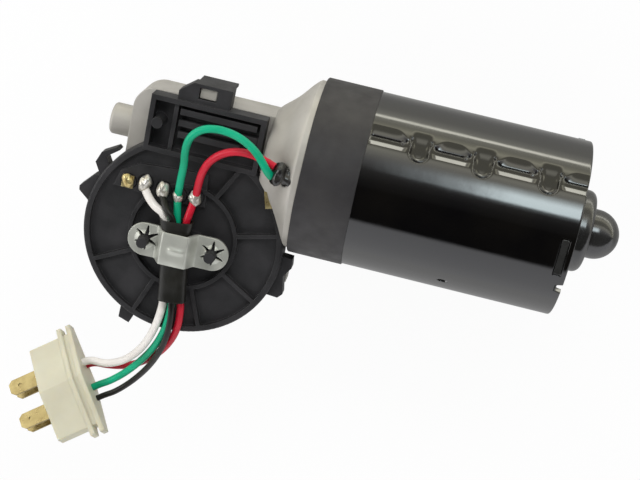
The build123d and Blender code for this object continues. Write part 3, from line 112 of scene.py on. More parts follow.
def setSky(facts):
    world = bpy.data.worlds.new("softRoom")
    bpy.context.scene.world = world
    world.use_nodes = True
    tree = world.node_tree
    tree.nodes.clear()
    add, link = tree.nodes.new, tree.links.new

    def maths(operation, *sources):
        node = add("ShaderNodeMath")
        node.operation = operation
        for socket, source in zip(node.inputs, sources):
            if hasattr(source, "is_linked"):
                link(source, socket)
            else:
                socket.default_value = source
        return node.outputs[0]

    # a colour ramp over the span from -half to half of a source, with stops in the table's own units
    def spreadRamp(source, half, stops):
        spread, ramp = add("ShaderNodeMapRange"), add("ShaderNodeValToRGB")
        link(source, spread.inputs["Value"])
        spread.inputs["From Min"].default_value, spread.inputs["From Max"].default_value = -half, half
        link(spread.outputs[0], ramp.inputs[0])
        top = max(stop[1] for stop in stops)
        start = stops[0][0]
        while len(ramp.color_ramp.elements) < len(stops):
            ramp.color_ramp.elements.new(0.5)
        for stop, (place, level, *warmth) in zip(ramp.color_ramp.elements, stops):
            warm = warmth[0] if warmth else 0.0
            stop.position = (place - start) / 2 / -start
            share = level / top
            green, blue = 1 - facts["warmGreen"] * warm, 1 - facts["warmBlue"] * warm
            stop.color = (share, share * green, share * blue, 1.0)
        return ramp.outputs["Color"], top

    def glow(colour, strength):
        light = add("ShaderNodeBackground")
        for socket, value in (("Color", colour), ("Strength", strength)):
            if hasattr(value, "is_linked"):
                link(value, light.inputs[socket])
            else:
                light.inputs[socket].default_value = value
        return light.outputs[0]

    def mixed(share, first, second):
        mix = add("ShaderNodeMixShader")
        for socket, source in zip(mix.inputs, (share, first, second)):
            link(source, socket)
        return mix.outputs[0]

    coords, split, path = add("ShaderNodeTexCoord"), add("ShaderNodeSeparateXYZ"), add("ShaderNodeLightPath")
    link(coords.outputs["Generated"], split.inputs[0])
    angle = maths("ARCTAN2", split.outputs["Z"], split.outputs["Y"])  # about X, from +Y towards +Z
    ring, ringTop = spreadRamp(angle, math.pi, facts["ring"])
    window, _ = spreadRamp(angle, math.pi, facts["window"])
    across, _ = spreadRamp(split.outputs["X"], 1.0, facts["across"])
    level = maths("MULTIPLY", maths("MULTIPLY", window, across), facts["windowLevel"])
    mirrored = add("ShaderNodeAddShader")
    link(glow(ring, ringTop), mirrored.inputs[0])
    link(glow((*facts["windowTint"], 1), level), mirrored.inputs[1])
    clear = maths("MAXIMUM", path.outputs["Is Camera Ray"], path.outputs["Is Transmission Ray"])
    white = (1, 1, 1, 1)
    lit = mixed(path.outputs["Is Glossy Ray"], glow(white, facts["plain"]), mirrored.outputs[0])
    link(mixed(clear, lit, glow(white, 1.0)), add("ShaderNodeOutputWorld").inputs[0])


floorFacts = {"half": 1.6, "height": -0.0335, "tone": (0.86, 0.86, 0.86), "rough": 0.9, "clear": 0.94}


def layFloor(facts):
    half, height = facts["half"], facts["height"]
    corners = [(x, y, height) for x, y in ((-half, -half), (half, -half), (half, half), (-half, half))]
    mesh = bpy.data.meshes.new("paleFloor")
    mesh.from_pydata(corners, [], [(0, 1, 2, 3)])
    floor = bpy.data.objects.new("paleFloor", mesh)
    bpy.context.scene.collection.objects.link(floor)
    material = bpy.data.materials.new("palePaper")
    material.use_nodes = True
    tree = material.node_tree
    add, link = tree.nodes.new, tree.links.new
    shader, output = tree.nodes["Principled BSDF"], tree.nodes["Material Output"]
    shader.inputs["Base Color"].default_value = (*facts["tone"], 1)
    shader.inputs["Roughness"].default_value = facts["rough"]
    glow, mix, path = add("ShaderNodeEmission"), add("ShaderNodeMixShader"), add("ShaderNodeLightPath")
    seen, clearRays, part = (add("ShaderNodeMath") for _ in range(3))
    seen.operation = clearRays.operation = "MAXIMUM"
    part.operation = "MULTIPLY"
    part.inputs[1].default_value = facts["clear"]
    glow.inputs["Strength"].default_value = 1.0
    link(path.outputs["Is Camera Ray"], seen.inputs[0])
    link(path.outputs["Is Glossy Ray"], seen.inputs[1])
    link(seen.outputs[0], clearRays.inputs[0])
    link(path.outputs["Is Transmission Ray"], clearRays.inputs[1])
    link(clearRays.outputs[0], part.inputs[0])
    link(part.outputs[0], mix.inputs[0])
    link(shader.outputs[0], mix.inputs[1])
    link(glow.outputs[0], mix.inputs[2])
    link(mix.outputs[0], output.inputs["Surface"])
    mesh.materials.append(material)
    floor.visible_glossy = False  # the ring's lower half stands for the pale floor in polished faces


setCamera(cameraFacts)
addLamps(lampFacts)
setSky(skyFacts)
layFloor(floorFacts)
bpy.context.scene.view_settings.view_transform = "Standard"
print("camera, lamps and floor set")

# each finish is a noise-mixed colour, a noise-driven roughness and a fine bump on rounded edges
# bevel is in millimetres, and wear lightens the edges
finishFacts = {
    "castAluminium": {
        "tone": (0.50, 0.48, 0.44), "tone2": (0.405, 0.385, 0.345), "toneScale": 60,
        "rough": (0.42, 0.62), "roughScale": 180, "metal": 0.35, "bump": 0.10, "bumpScale": 1500,
        "wear": (0.82, 0.81, 0.78), "wearAmount": 0.35, "bevel": 0.5,
    },
    "glossEnamel": {
        "tone": (0.0030, 0.0028, 0.0030), "tone2": (0.0050, 0.0045, 0.0040), "toneScale": 50,
        "rough": (0.05, 0.10), "roughScale": 90, "spec": 1.0, "bump": 0.03, "bumpScale": 260,
        "bevel": 0.3,
    },
    "bandFilm": {
        "tone": (0.023, 0.0215, 0.023), "tone2": (0.036, 0.034, 0.034), "toneScale": 70,
        "rough": (0.50, 0.68), "roughScale": 220, "bump": 0.10, "bumpScale": 900, "bevel": 0.2,
    },
    "domeGloss": {
        "tone": (0.019, 0.019, 0.018), "tone2": (0.030, 0.030, 0.029), "toneScale": 80,
        "rough": (0.12, 0.24), "roughScale": 120, "spec": 0.9, "bump": 0.07, "bumpScale": 420,
        "bevel": 0.4,
    },
    "mouldedBlack": {
        "tone": (0.019, 0.019, 0.020), "tone2": (0.032, 0.031, 0.033), "toneScale": 90,
        "rough": (0.42, 0.60), "roughScale": 160, "spec": 0.32, "bump": 0.14, "bumpScale": 1100,
        "wear": (0.10, 0.097, 0.094), "wearAmount": 0.35, "bevel": 0.35,
    },
    "blackTrim": {
        "tone": (0.022, 0.022, 0.023), "tone2": (0.03, 0.03, 0.03), "toneScale": 200,
        "rough": (0.4, 0.55), "roughScale": 300, "bump": 0.08, "bumpScale": 900, "bevel": 0.2,
    },
    "zincSheet": {
        "tone": (0.58, 0.59, 0.53), "tone2": (0.47, 0.48, 0.43), "toneScale": 160,
        "rough": (0.30, 0.46), "roughScale": 320, "metal": 0.45, "bump": 0.06, "bumpScale": 1800,
        "bevel": 0.3,
    },
    "groundSteel": {
        "tone": (0.52, 0.52, 0.53), "tone2": (0.42, 0.42, 0.43), "toneScale": 200,
        "rough": (0.22, 0.36), "roughScale": 500, "metal": 1.0, "bump": 0.04, "bumpScale": 1500,
        "bevel": 0.2,
    },
    "polishedSteel": {
        "tone": (0.66, 0.66, 0.67), "tone2": (0.58, 0.58, 0.6), "toneScale": 200,
        "rough": (0.10, 0.2), "roughScale": 500, "metal": 1.0, "bump": 0.02, "bumpScale": 1500,
        "bevel": 0.15,
    },
    "coreSteel": {
        "tone": (0.16, 0.16, 0.17), "tone2": (0.10, 0.10, 0.11), "toneScale": 300,
        "rough": (0.4, 0.6), "roughScale": 500, "metal": 0.8, "bump": 0.2, "bumpScale": 2500,
        "bevel": 0.1,
    },
    "enamelledCopper": {
        "tone": (0.55, 0.20, 0.06), "tone2": (0.38, 0.12, 0.04), "toneScale": 500,
        "rough": (0.22, 0.4), "roughScale": 600, "metal": 0.8, "bump": 0.4, "bumpScale": 1600,
        "bevel": 0.2,
    },
    "turnedCopper": {
        "tone": (0.78, 0.40, 0.24), "tone2": (0.62, 0.30, 0.18), "toneScale": 300,
        "rough": (0.2, 0.35), "roughScale": 800, "metal": 1.0, "bump": 0.05, "bumpScale": 2500,
        "bevel": 0.1,
    },
    "oiledBronze": {
        "tone": (0.50, 0.36, 0.18), "tone2": (0.36, 0.25, 0.13), "toneScale": 400,
        "rough": (0.4, 0.6), "roughScale": 900, "metal": 0.9, "bump": 0.2, "bumpScale": 3000,
        "bevel": 0.2,
    },
    "stampedBrass": {
        "tone": (0.47, 0.38, 0.175), "tone2": (0.36, 0.28, 0.12), "toneScale": 260,
        "rough": (0.24, 0.42), "roughScale": 420, "metal": 0.85, "bump": 0.05, "bumpScale": 1500,
        "wear": (0.78, 0.70, 0.48), "wearAmount": 0.3, "bevel": 0.2,
    },
    "tinnedBrass": {
        "tone": (0.78, 0.66, 0.34), "tone2": (0.58, 0.44, 0.18), "toneScale": 500,
        "rough": (0.25, 0.45), "roughScale": 600, "metal": 0.8, "bump": 0.15, "bumpScale": 900,
        "bevel": 0.2,
    },
    "brightSolder": {
        "tone": (0.80, 0.78, 0.73), "tone2": (0.50, 0.46, 0.38), "toneScale": 420,
        "rough": (0.22, 0.40), "roughScale": 900, "metal": 0.6, "bump": 0.16, "bumpScale": 700,
    },
    "ferriteGrey": {
        "tone": (0.05, 0.05, 0.055), "tone2": (0.035, 0.035, 0.04), "toneScale": 200,
        "rough": (0.5, 0.7), "roughScale": 500, "bump": 0.1, "bumpScale": 2000, "bevel": 0.3,
    },
    "carbonBlock": {
        "tone": (0.03, 0.03, 0.03), "tone2": (0.045, 0.045, 0.045), "toneScale": 900,
        "rough": (0.35, 0.5), "roughScale": 900, "bump": 0.1, "bumpScale": 3000, "bevel": 0.1,
    },
    "acetal": {
        "tone": (0.82, 0.81, 0.76), "tone2": (0.76, 0.74, 0.66), "toneScale": 90,
        "rough": (0.3, 0.45), "roughScale": 200, "bump": 0.03, "bumpScale": 900, "bevel": 0.15,
    },
    "boardBrown": {
        "tone": (0.33, 0.19, 0.08), "tone2": (0.25, 0.14, 0.06), "toneScale": 300,
        "rough": (0.5, 0.7), "roughScale": 300, "bump": 0.15, "bumpScale": 1500, "bevel": 0.1,
    },
    "softBlack": {
        "tone": (0.0095, 0.0092, 0.0072), "tone2": (0.017, 0.0165, 0.0135), "toneScale": 120,
        "rough": (0.32, 0.50), "roughScale": 260, "bump": 0.10, "bumpScale": 700, "bevel": 0.25,
    },
    "ivoryNylon": {
        "tone": (0.67, 0.645, 0.50), "tone2": (0.60, 0.57, 0.435), "toneScale": 60,
        "rough": (0.34, 0.48), "roughScale": 160, "bump": 0.04, "bumpScale": 700,
        "wear": (0.80, 0.77, 0.62), "wearAmount": 0.4, "bevel": 1.1, "scatter": 0.5,
    },
    "wireWhite": {
        "tone": (0.86, 0.83, 0.79), "tone2": (0.80, 0.76, 0.71), "toneScale": 120,
        "rough": (0.26, 0.40), "roughScale": 300, "bump": 0.05, "bumpScale": 500,
    },
    "wireRed": {
        "tone": (0.60, 0.010, 0.032), "tone2": (0.50, 0.007, 0.026), "toneScale": 80,
        "rough": (0.30, 0.42), "roughScale": 300, "spec": 0.35, "bump": 0.03, "bumpScale": 500,
    },
    "wireGreen": {
        "tone": (0.0005, 0.40, 0.21), "tone2": (0.0005, 0.31, 0.155), "toneScale": 120,
        "rough": (0.30, 0.44), "roughScale": 300, "spec": 0.3, "bump": 0.05, "bumpScale": 500,
    },
    "grommetBlack": {
        "tone": (0.010, 0.010, 0.010), "tone2": (0.030, 0.028, 0.026), "toneScale": 260,
        "rough": (0.16, 0.34), "roughScale": 300, "spec": 0.7, "bump": 0.12, "bumpScale": 500,
        "bevel": 0.25,
    },
    "wireBlack": {
        "tone": (0.006, 0.006, 0.005), "tone2": (0.011, 0.010, 0.008), "toneScale": 120,
        "rough": (0.28, 0.42), "roughScale": 300, "spec": 0.35, "bump": 0.05, "bumpScale": 500,
    },
}

# what all finishes share: noise detail, the ramp's stops, the wear's reach and the depth of scatter
grainFacts = {
    "toneDetail": 4.0, "toneStops": (0.34, 0.66), "roughDetail": 3.0, "roughSpan": (0.3, 0.7),
    "bumpDetail": 2.0, "bumpDepth": 0.3, "bevelSamples": 4, "wearSpan": (0.99, 0.80),
    "scatterRadius": (1.0, 0.8, 0.5), "scatterDepth": 2.0,
}


def makeFinish(name, facts, grainFacts):
    material = bpy.data.materials.new(name)
    material.use_nodes = True
    tree = material.node_tree
    add, link = tree.nodes.new, tree.links.new
    shader = tree.nodes["Principled BSDF"]
    coords = add("ShaderNodeTexCoord")

    def noise(scale, detail):
        node = add("ShaderNodeTexNoise")
        node.inputs["Scale"].default_value, node.inputs["Detail"].default_value = scale, detail
        link(coords.outputs["Object"], node.inputs["Vector"])
        return node.outputs["Fac"]

    def span(node, side, low, high):
        node.inputs[side + " Min"].default_value, node.inputs[side + " Max"].default_value = low, high

    tones = add("ShaderNodeValToRGB")
    for stop, place, tone in zip(tones.color_ramp.elements, grainFacts["toneStops"], ("tone", "tone2")):
        stop.position = place
        stop.color = (*facts[tone], 1)
    link(noise(facts["toneScale"], grainFacts["toneDetail"]), tones.inputs[0])
    colour = tones.outputs["Color"]
    rounded = None
    if "bevel" in facts:
        rounded = add("ShaderNodeBevel")
        rounded.samples = grainFacts["bevelSamples"]
        rounded.inputs["Radius"].default_value = facts["bevel"] * mm
    if "wear" in facts:  # edges are where the rounded normal leaves the flat one
        flat, dot = add("ShaderNodeNewGeometry"), add("ShaderNodeVectorMath")
        edge, blend = add("ShaderNodeMapRange"), add("ShaderNodeMix")
        dot.operation = "DOT_PRODUCT"
        link(rounded.outputs[0], dot.inputs[0])
        link(flat.outputs["Normal"], dot.inputs[1])
        link(dot.outputs["Value"], edge.inputs["Value"])
        span(edge, "From", *grainFacts["wearSpan"])
        edge.inputs["To Max"].default_value = facts["wearAmount"]
        blend.data_type = "RGBA"
        link(edge.outputs[0], blend.inputs["Factor"])
        link(colour, blend.inputs["A"])
        blend.inputs["B"].default_value = (*facts["wear"], 1)
        colour = blend.outputs["Result"]
    link(colour, shader.inputs["Base Color"])
    patches = add("ShaderNodeMapRange")
    link(noise(facts["roughScale"], grainFacts["roughDetail"]), patches.inputs["Value"])
    span(patches, "From", *grainFacts["roughSpan"])
    span(patches, "To", *facts["rough"])
    link(patches.outputs[0], shader.inputs["Roughness"])
    bump = add("ShaderNodeBump")
    bump.inputs["Strength"].default_value = facts["bump"]
    bump.inputs["Distance"].default_value = grainFacts["bumpDepth"] * mm
    link(noise(facts["bumpScale"], grainFacts["bumpDetail"]), bump.inputs["Height"])
    if rounded:
        link(rounded.outputs[0], bump.inputs["Normal"])
    link(bump.outputs[0], shader.inputs["Normal"])
    shader.inputs["Metallic"].default_value = facts.get("metal", 0.0)
    shader.inputs["Specular IOR Level"].default_value = facts.get("spec", 0.5)
    if "scatter" in facts:
        shader.inputs["Subsurface Weight"].default_value = facts["scatter"]
        shader.inputs["Subsurface Radius"].default_value = grainFacts["scatterRadius"]
        shader.inputs["Subsurface Scale"].default_value = grainFacts["scatterDepth"] * mm
    return material


finishes = {name: makeFinish(name, facts, grainFacts) for name, facts in finishFacts.items()}
print("finishes made:", len(finishes))

nodeFinish = {
    "gear_housing": "castAluminium", "worm_end_bush": "oiledBronze", "front_bush": "oiledBronze",
    "thrust_ball": "polishedSteel", "thrust_screw": "groundSteel", "output_bushes": "oiledBronze",
    "yoke": "glossEnamel", "yoke_band": "bandFilm", "end_plate": "domeGloss",
    "rear_bush": "oiledBronze", "bush_retainer": "groundSteel", "magnets": "ferriteGrey",
    "magnet_clips": "groundSteel", "armature_shaft": "groundSteel", "lamination_core": "coreSteel",
    "windings": "enamelledCopper", "commutator_hub": "blackTrim",
    "commutator_bars": "turnedCopper", "shaft_insulators": "blackTrim",
    "brush_plate": "boardBrown", "brush_plate_screws": "groundSteel",
    "brush_boxes": "stampedBrass", "brush_upper": "carbonBlock", "brush_lower": "carbonBlock",
    "brush_spring_upper": "polishedSteel", "brush_spring_lower": "polishedSteel",
    "worm_wheel": "acetal", "contact_disc": "stampedBrass", "output_shaft": "groundSteel",
    "shaft_washer": "zincSheet", "shaft_circlip": "groundSteel", "thrust_washer": "groundSteel",
    "gear_cover": "mouldedBlack", "cover_gasket": "softBlack", "terminals": "tinnedBrass",
    "solder_joints": "brightSolder", "contact_fingers": "stampedBrass", "cable_clamp": "zincSheet",
    "wire_sleeve": "softBlack", "plug_housing": "ivoryNylon", "plug_blades": "stampedBrass",
    "grommet": "softBlack", "earth_tab": "tinnedBrass", "lead_white": "wireWhite",
    "lead_red": "wireRed", "lead_green": "wireGreen", "lead_black": "wireBlack",
    "jumper_green": "wireGreen", "jumper_red": "wireRed",
}


def dress(piece, finish):
    piece.data.materials.clear()
    piece.data.materials.append(finishes[finish])


for nodeName, finish in nodeFinish.items():
    dress(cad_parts[nodeName], finish)
print("CAD nodes dressed:", len(nodeFinish))

# order-3 splines; routes and radii are in millimetres, lengths in metres
leadFacts = {
    "leadWhite": {
        "node": "lead_white", "finish": "wireWhite", "slot": "wire_white", "radius": 1.5,
        "length": 0.1084,
        "route": (
            (-16.4, 15.8, 36.2), (-13.1, 11.0, 37.9), (-5.32, 8.25, 38.4), (-1.79, -22.75, 38.4),
            (-2.1, -29.6, 38.0), (-3.7, -37.8, 36.4), (-7.4, -47.8, 31.8), (-13.2, -56.8, 25.8),
            (-19.3, -62.5, 21.0), (-24.5, -65.3, 18.0), (-29.86, -65.88, 16.08),
            (-32.22, -67.62, 16.67),
        ),
    },
    "leadRed": {
        "node": "lead_red", "finish": "wireRed", "slot": "wire_red", "radius": 1.4,
        "length": 0.1101,
        "route": (
            (2.0, 15.4, 36.2), (1.5, 10.4, 38.2), (0.84, 7.14, 38.4), (4.17, -22.07, 38.4),
            (5.1, -26.8, 38.1), (5.0, -35.0, 37.0), (1.9, -44.1, 32.8), (-4.1, -53.6, 26.4),
            (-10.8, -60.8, 20.4), (-17.6, -65.4, 16.3), (-23.2, -67.4, 14.2),
            (-28.97, -67.98, 13.42), (-31.33, -69.73, 14.01),
        ),
    },
    "leadGreen": {
        "node": "lead_green", "finish": "wireGreen", "slot": "wire_green", "radius": 1.4,
        "length": 0.1022,
        "route": (
            (-3.9, 14.4, 36.2), (-2.8, 9.8, 38.0), (-1.86, 4.82, 38.1), (1.24, -22.4, 38.1),
            (1.3, -28.7, 37.9), (0.3, -36.8, 36.2), (-2.9, -46.3, 32.1), (-8.2, -56.2, 26.4),
            (-14.1, -64.8, 22.3), (-19.6, -70.5, 20.8), (-23.42, -72.94, 20.92),
            (-25.78, -74.69, 21.52),
        ),
    },
    "leadBlack": {
        "node": "lead_black", "finish": "wireBlack", "slot": "wire_black", "radius": 1.15,
        "length": 0.1099,
        "route": (
            (-9.7, 15.4, 36.2), (-7.4, 11.5, 40.4), (-2.1, 7.81, 40.75), (1.34, -22.39, 40.75),
            (2.3, -27.4, 40.5), (2.2, -36.3, 38.8), (-0.2, -46.7, 34.4), (-4.7, -57.4, 28.4),
            (-10.8, -67.2, 23.7), (-16.6, -73.7, 22.4), (-20.59, -76.18, 22.65),
            (-22.95, -77.93, 23.24),
        ),
    },
}

jumperFacts = {
    "jumperGreen": {
        "node": "jumper_green", "finish": "wireGreen", "slot": "wire_green", "radius": 1.4,
        "route": (
            (-4.0, 16.6, 36.6), (-3.7, 22.9, 39.0), (-3.0, 29.4, 41.5), (-3.3, 35.6, 43.8),
            (-2.3, 41.0, 45.2), (1.3, 44.9, 46.0), (6.5, 46.7, 46.8), (12.4, 46.7, 48.0),
            (17.4, 45.7, 49.8), (21.6, 43.7, 51.2), (25.0, 40.6, 51.8), (27.2, 37.4, 51.2),
            (28.67, 35.27, 48.89),
        ),
    },
    "jumperRed": {
        "node": "jumper_red", "finish": "wireRed", "slot": "wire_red", "radius": 1.4,
        "route": (
            (2.4, 17.6, 36.6), (2.8, 22.1, 38.6), (3.5, 27.8, 40.6), (5.6, 33.3, 42.4),
            (9.8, 37.6, 44.0), (14.7, 40.0, 45.2), (19.9, 40.7, 46.6), (25.0, 40.1, 47.8),
            (29.35, 38.8, 48.64),
        ),
    },
}

wireFacts = {"roundness": 6, "smoothness": 12}


def makeWire(name, facts):
    curve = bpy.data.curves.new(name, "CURVE")
    curve.dimensions, curve.bevel_depth = "3D", facts["radius"] * mm
    curve.bevel_resolution, curve.resolution_u = wireFacts["roundness"], wireFacts["smoothness"]
    curve.use_fill_caps = True
    spline = curve.splines.new("NURBS")
    spline.points.add(len(facts["route"]) - 1)
    for point, place in zip(spline.points, facts["route"]):
        point.co = (*[value * mm for value in place], 1.0)
    spline.order_u, spline.use_endpoint_u = 3, True
    wire = bpy.data.objects.new(name, curve)
    bpy.context.scene.collection.objects.link(wire)
    curve.materials.append(finishes[facts["finish"]])
    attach(wire, "motor_frame")
    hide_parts(facts["node"])
    return wire


for name, facts in leadFacts.items():
    wire = makeWire(name, facts)
for name, facts in jumperFacts.items():
    makeWire(name, facts)
print("leads and jumpers laid")


# quads over points[row, column]: columns close on themselves, rows do too or end in a flat face
def gridPiece(name, points, finish, stands=(), wrapRows=True, sharp=38.0):
    rows, columns = points.shape[:2]
    row, column = np.meshgrid(np.arange(rows if wrapRows else rows - 1), np.arange(columns), indexing="ij")
    nextRow, nextColumn = (row + 1) % rows, (column + 1) % columns
    quads = np.stack((row * columns + column, row * columns + nextColumn,
                      nextRow * columns + nextColumn, nextRow * columns + column), axis=-1).reshape(-1, 4)
    flat = points.reshape(-1, 3) * mm
    corner = flat[quads]
    volume = np.einsum("ij,ij->i", corner[:, 0], np.cross(corner[:, 1], corner[:, 2])).sum()
    volume += np.einsum("ij,ij->i", corner[:, 0], np.cross(corner[:, 2], corner[:, 3])).sum()
    faces = quads.tolist()
    if not wrapRows:
        faces += [list(range(columns))[::-1], list(range((rows - 1) * columns, rows * columns))]
    if volume < 0:  # the faces point inwards
        faces = [face[::-1] for face in faces]
    mesh = bpy.data.meshes.new(name)
    mesh.from_pydata(flat.tolist(), [], faces)
    return finishPiece(name, mesh, finish, stands, sharp)


def finishPiece(name, mesh, finish, stands, sharp):
    mesh.shade_smooth()
    mesh.set_sharp_from_angle(angle=math.radians(sharp))
    piece = bpy.data.objects.new(name, mesh)
    bpy.context.scene.collection.objects.link(piece)
    mesh.materials.append(finishes[finish])
    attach(piece, "motor_frame")
    if stands:
        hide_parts(*stands)
    return piece


# points at an angle from +Y about the motor's axis, a radius and a station along X
def aroundMotor(angle, radius, station):
    return np.stack((station + 0 * radius, motorLine[1] + radius * np.cos(angle),
                     motorLine[2] + radius * np.sin(angle)), axis=-1)


# nought below low, one above high, and a smooth cubic between them
def softStep(value, low, high):
    part = np.clip((value - low) / (high - low), 0.0, 1.0)
    return part * part * (3.0 - 2.0 * part)


# one where a value is in, nought outside it, over a soft edge of this half width
def inside(away, half, soft):
    return 1 - softStep(away, half - soft, half + soft)


# a drawn can with a rolled seam, three round locks along it, tab slots and a notched rim
# angles are in degrees from +Y, and fine gives each dense stretch of the grid as start, end and step
yokeFacts = {
    "radius": 32.0, "wall": 2.0, "start": 40.0, "end": 135.2, "rimRound": 0.5, "innerStep": (2.0, 10.0),
    "fine": ((33, 58, 0.28), (78, 107, 0.6), (111, 119, 0.5), (133, 141, 0.4), (199, 226, 1.0),
             (319, 346, 1.0)),
    "coarse": 97, "closest": 0.1, "stations": (57, 58, 129), "stationSteps": (0.35, 0.2),
    "seamAngle": 44.8, "seamStart": (58.3, 59.3), "clearLock": (3.3, 6.2), "floor": 0.78,
    "lowerWall": (3.8, 0.4265, 0.018), "lowerReach": 3.0,
    "upperWall": (-4.9, -0.4), "upperPower": 1.25, "lip": (0.09, 0.55), "arch": (3.2, 4.5, 2.4),
    "crackDepth": 0.33, "crackWidth": 0.26, "crackLift": 1.9, "crackBend": (0.6, 1.1), "crackFade": 0.5,
    "locks": (76.4, 98.6, 121.8), "lockRadius": 3.1, "lockDrop": 3.1, "lockTop": -2.4,
    "lockFlare": 0.5, "flareReach": 5.5,
    "tabDepth": (0.36, 0.92), "tabRise": (0.25, 1.45), "tabFade": (-6.0, 0.2), "tabEdge": 0.1,
    "grooveDepth": 0.50, "grooveWidth": 0.30, "stakeReach": 6.2, "stakeHeight": 0.5, "stakeWidth": 0.55,
    "slotAngles": (92.5, 212.5, 332.5), "slotHalf": 6.6, "slotStation": 131.8, "slotReach": 1.35,
    "slotDepth": 1.5, "slotEdge": 0.15,
    "notchAngle": 115.0, "notchHalf": 1.7, "notchDepth": 2.0, "notchEdge": 0.2, "notchRise": (2.6, 0.6),
    "drainAngle": 137.0, "drainStation": 95.0, "drainHalf": (1.7, 0.9), "drainDepth": 1.7,
    "drainEdge": (0.85, 1.1),
}


# depth of the seam: the shallower of a rising upper wall and a curved lower wall, flat between locks,
# with a raised lip above it and, where the two edges meet, a bell-shaped crack that climbs at each lock
def seamDepths(f, seam, nearest):
    between = softStep(nearest, *f["clearLock"])
    archHigh, archFrom, archWide = f["arch"]
    archPlace = (np.maximum(nearest, archFrom) - archFrom) / archWide
    top = f["upperWall"][0] + archHigh * np.exp(-archPlace ** 2)
    upper = np.clip((seam - top) / (f["upperWall"][1] - top), 0.0, 1.0)
    lowerFoot, lowerSlope, lowerCurve = f["lowerWall"]
    inward = np.clip(lowerFoot - seam, 0.0, f["lowerReach"])
    lower = np.minimum(lowerSlope * inward - lowerCurve * inward ** 2, f["floor"])
    lipHigh, lipWide = f["lip"]
    valley = np.minimum(f["floor"] * upper ** f["upperPower"], lower) * between
    valley -= lipHigh * np.exp(-((seam - top) / lipWide) ** 2) * between
    bendFrom, bendWide = f["crackBend"]
    crackLine = seam + f["crackLift"] * np.exp(-((nearest - f["lockRadius"] - bendFrom) / bendWide) ** 2)
    crack = f["crackDepth"] * np.exp(-(crackLine / f["crackWidth"]) ** 2)
    return valley, crack * softStep(nearest, f["lockRadius"], f["lockRadius"] + f["crackFade"])


# one lock: a dished tongue inside a U-shaped outline, a groove along the outline, a small raised stake
def lockDepths(f, seam, station, lock):
    flare = f["lockFlare"] * np.clip((f["lockDrop"] - seam) / f["flareReach"], 0.0, 1.0) ** 2
    side = np.abs(station - lock) - f["lockRadius"] - flare
    low = np.hypot(station - lock, seam - f["lockDrop"]) - f["lockRadius"]
    outline = np.where(seam > f["lockDrop"], low, side)
    dish = np.interp(-outline, f["tabRise"], f["tabDepth"]) * inside(outline, 0.0, f["tabEdge"])
    line = np.where(seam > f["lockTop"], np.abs(outline), np.hypot(outline, seam - f["lockTop"]))
    groove = f["grooveDepth"] * np.exp(-(line / f["grooveWidth"]) ** 2)
    stakeAway = (station - lock + f["stakeReach"]) ** 2 + seam ** 2
    stake = f["stakeHeight"] * np.exp(-stakeAway / f["stakeWidth"] ** 2)
    return dish * softStep(seam, *f["tabFade"]), groove, stake


# radius = can radius less seam, locks, slots and drain hole; the rim is rounded, and the bore closes it
def yokeGrid(f):
    stretches = [np.arange(*stretch) for stretch in f["fine"]]
    angles = np.unique(np.round(np.concatenate([np.linspace(0, 360, f["coarse"])[:-1]] + stretches), 2))
    angles = angles[np.concatenate(([True], np.diff(angles) > f["closest"]))]
    plainEnd, seamFrom, slotFrom = f["stations"]
    outer = np.concatenate((np.linspace(f["start"], plainEnd, 4),
                            np.arange(seamFrom, slotFrom, f["stationSteps"][0]),
                            np.arange(slotFrom, f["end"] - f["rimRound"], f["stationSteps"][1])))
    turn, station = np.meshgrid(np.radians(angles), outer)

    def along(angle, row=slice(None)):  # distance round the can from an angle
        return f["radius"] * (turn[row] - math.radians(angle))

    seam = along(f["seamAngle"])
    nearest = np.min([np.abs(station - lock) for lock in f["locks"]], axis=0)
    valley, crack = seamDepths(f, seam, nearest)
    tongues, grooves, stakes = zip(*[lockDepths(f, seam, station, lock) for lock in f["locks"]])
    tongue, groove = np.max(tongues, axis=0), np.max(grooves, axis=0)
    sunk = (np.maximum(valley, tongue) + crack + groove - sum(stakes)) * softStep(station, *f["seamStart"])
    reach = inside(np.abs(station - f["slotStation"]), f["slotReach"], f["slotEdge"])
    for slotAngle in f["slotAngles"]:
        across = inside(np.abs(along(slotAngle)), f["slotHalf"], f["slotEdge"])
        sunk = np.maximum(sunk, f["slotDepth"] * across * reach)
    drainLong, drainWide = f["drainHalf"]
    drain = np.hypot((station - f["drainStation"]) / drainLong, along(f["drainAngle"]) / drainWide)
    sunk = np.maximum(sunk, f["drainDepth"] * (1 - softStep(drain, *f["drainEdge"])))
    radius = f["radius"] - sunk
    bend = np.radians(np.linspace(0, 90, 4))[1:, None]
    level = 0 * turn[:1]
    tip = f["end"] - f["rimRound"] + f["rimRound"] * np.sin(bend) + level
    rim = radius[-1:] - f["rimRound"] * (1 - np.cos(bend))
    nearRim, nearStart = f["innerStep"]
    inner = np.array([f["end"], f["end"] - nearRim, f["start"] + nearStart, f["start"]])[:, None] + level
    bore = f["radius"] - f["wall"] + 0 * inner
    stations = np.concatenate((station, tip, inner))
    notch = inside(np.abs(along(f["notchAngle"], 0)), f["notchHalf"], f["notchEdge"])
    riseFrom, riseTo = f["notchRise"]
    stations -= f["notchDepth"] * notch * softStep(stations, f["end"] - riseFrom, f["end"] - riseTo)
    return aroundMotor(np.radians(angles)[None, :], np.concatenate((radius, rim, bore)), stations)


gridPiece("yokeShell", yokeGrid(yokeFacts), "glossEnamel", stands=["yoke"], sharp=50.0)

# a thin ring whose edges wander a little; waves are share, count and start
bandFacts = {
    "start": 38.5, "end": 58.5, "inner": 32.03, "outer": 32.48, "round": 0.2, "flat": 5, "steps": 241,
    "wander": 0.09, "waves": ((0.6, 3, 0.7), (0.4, 7, 2.1)), "ripple": 0.03, "ripples": 11,
}


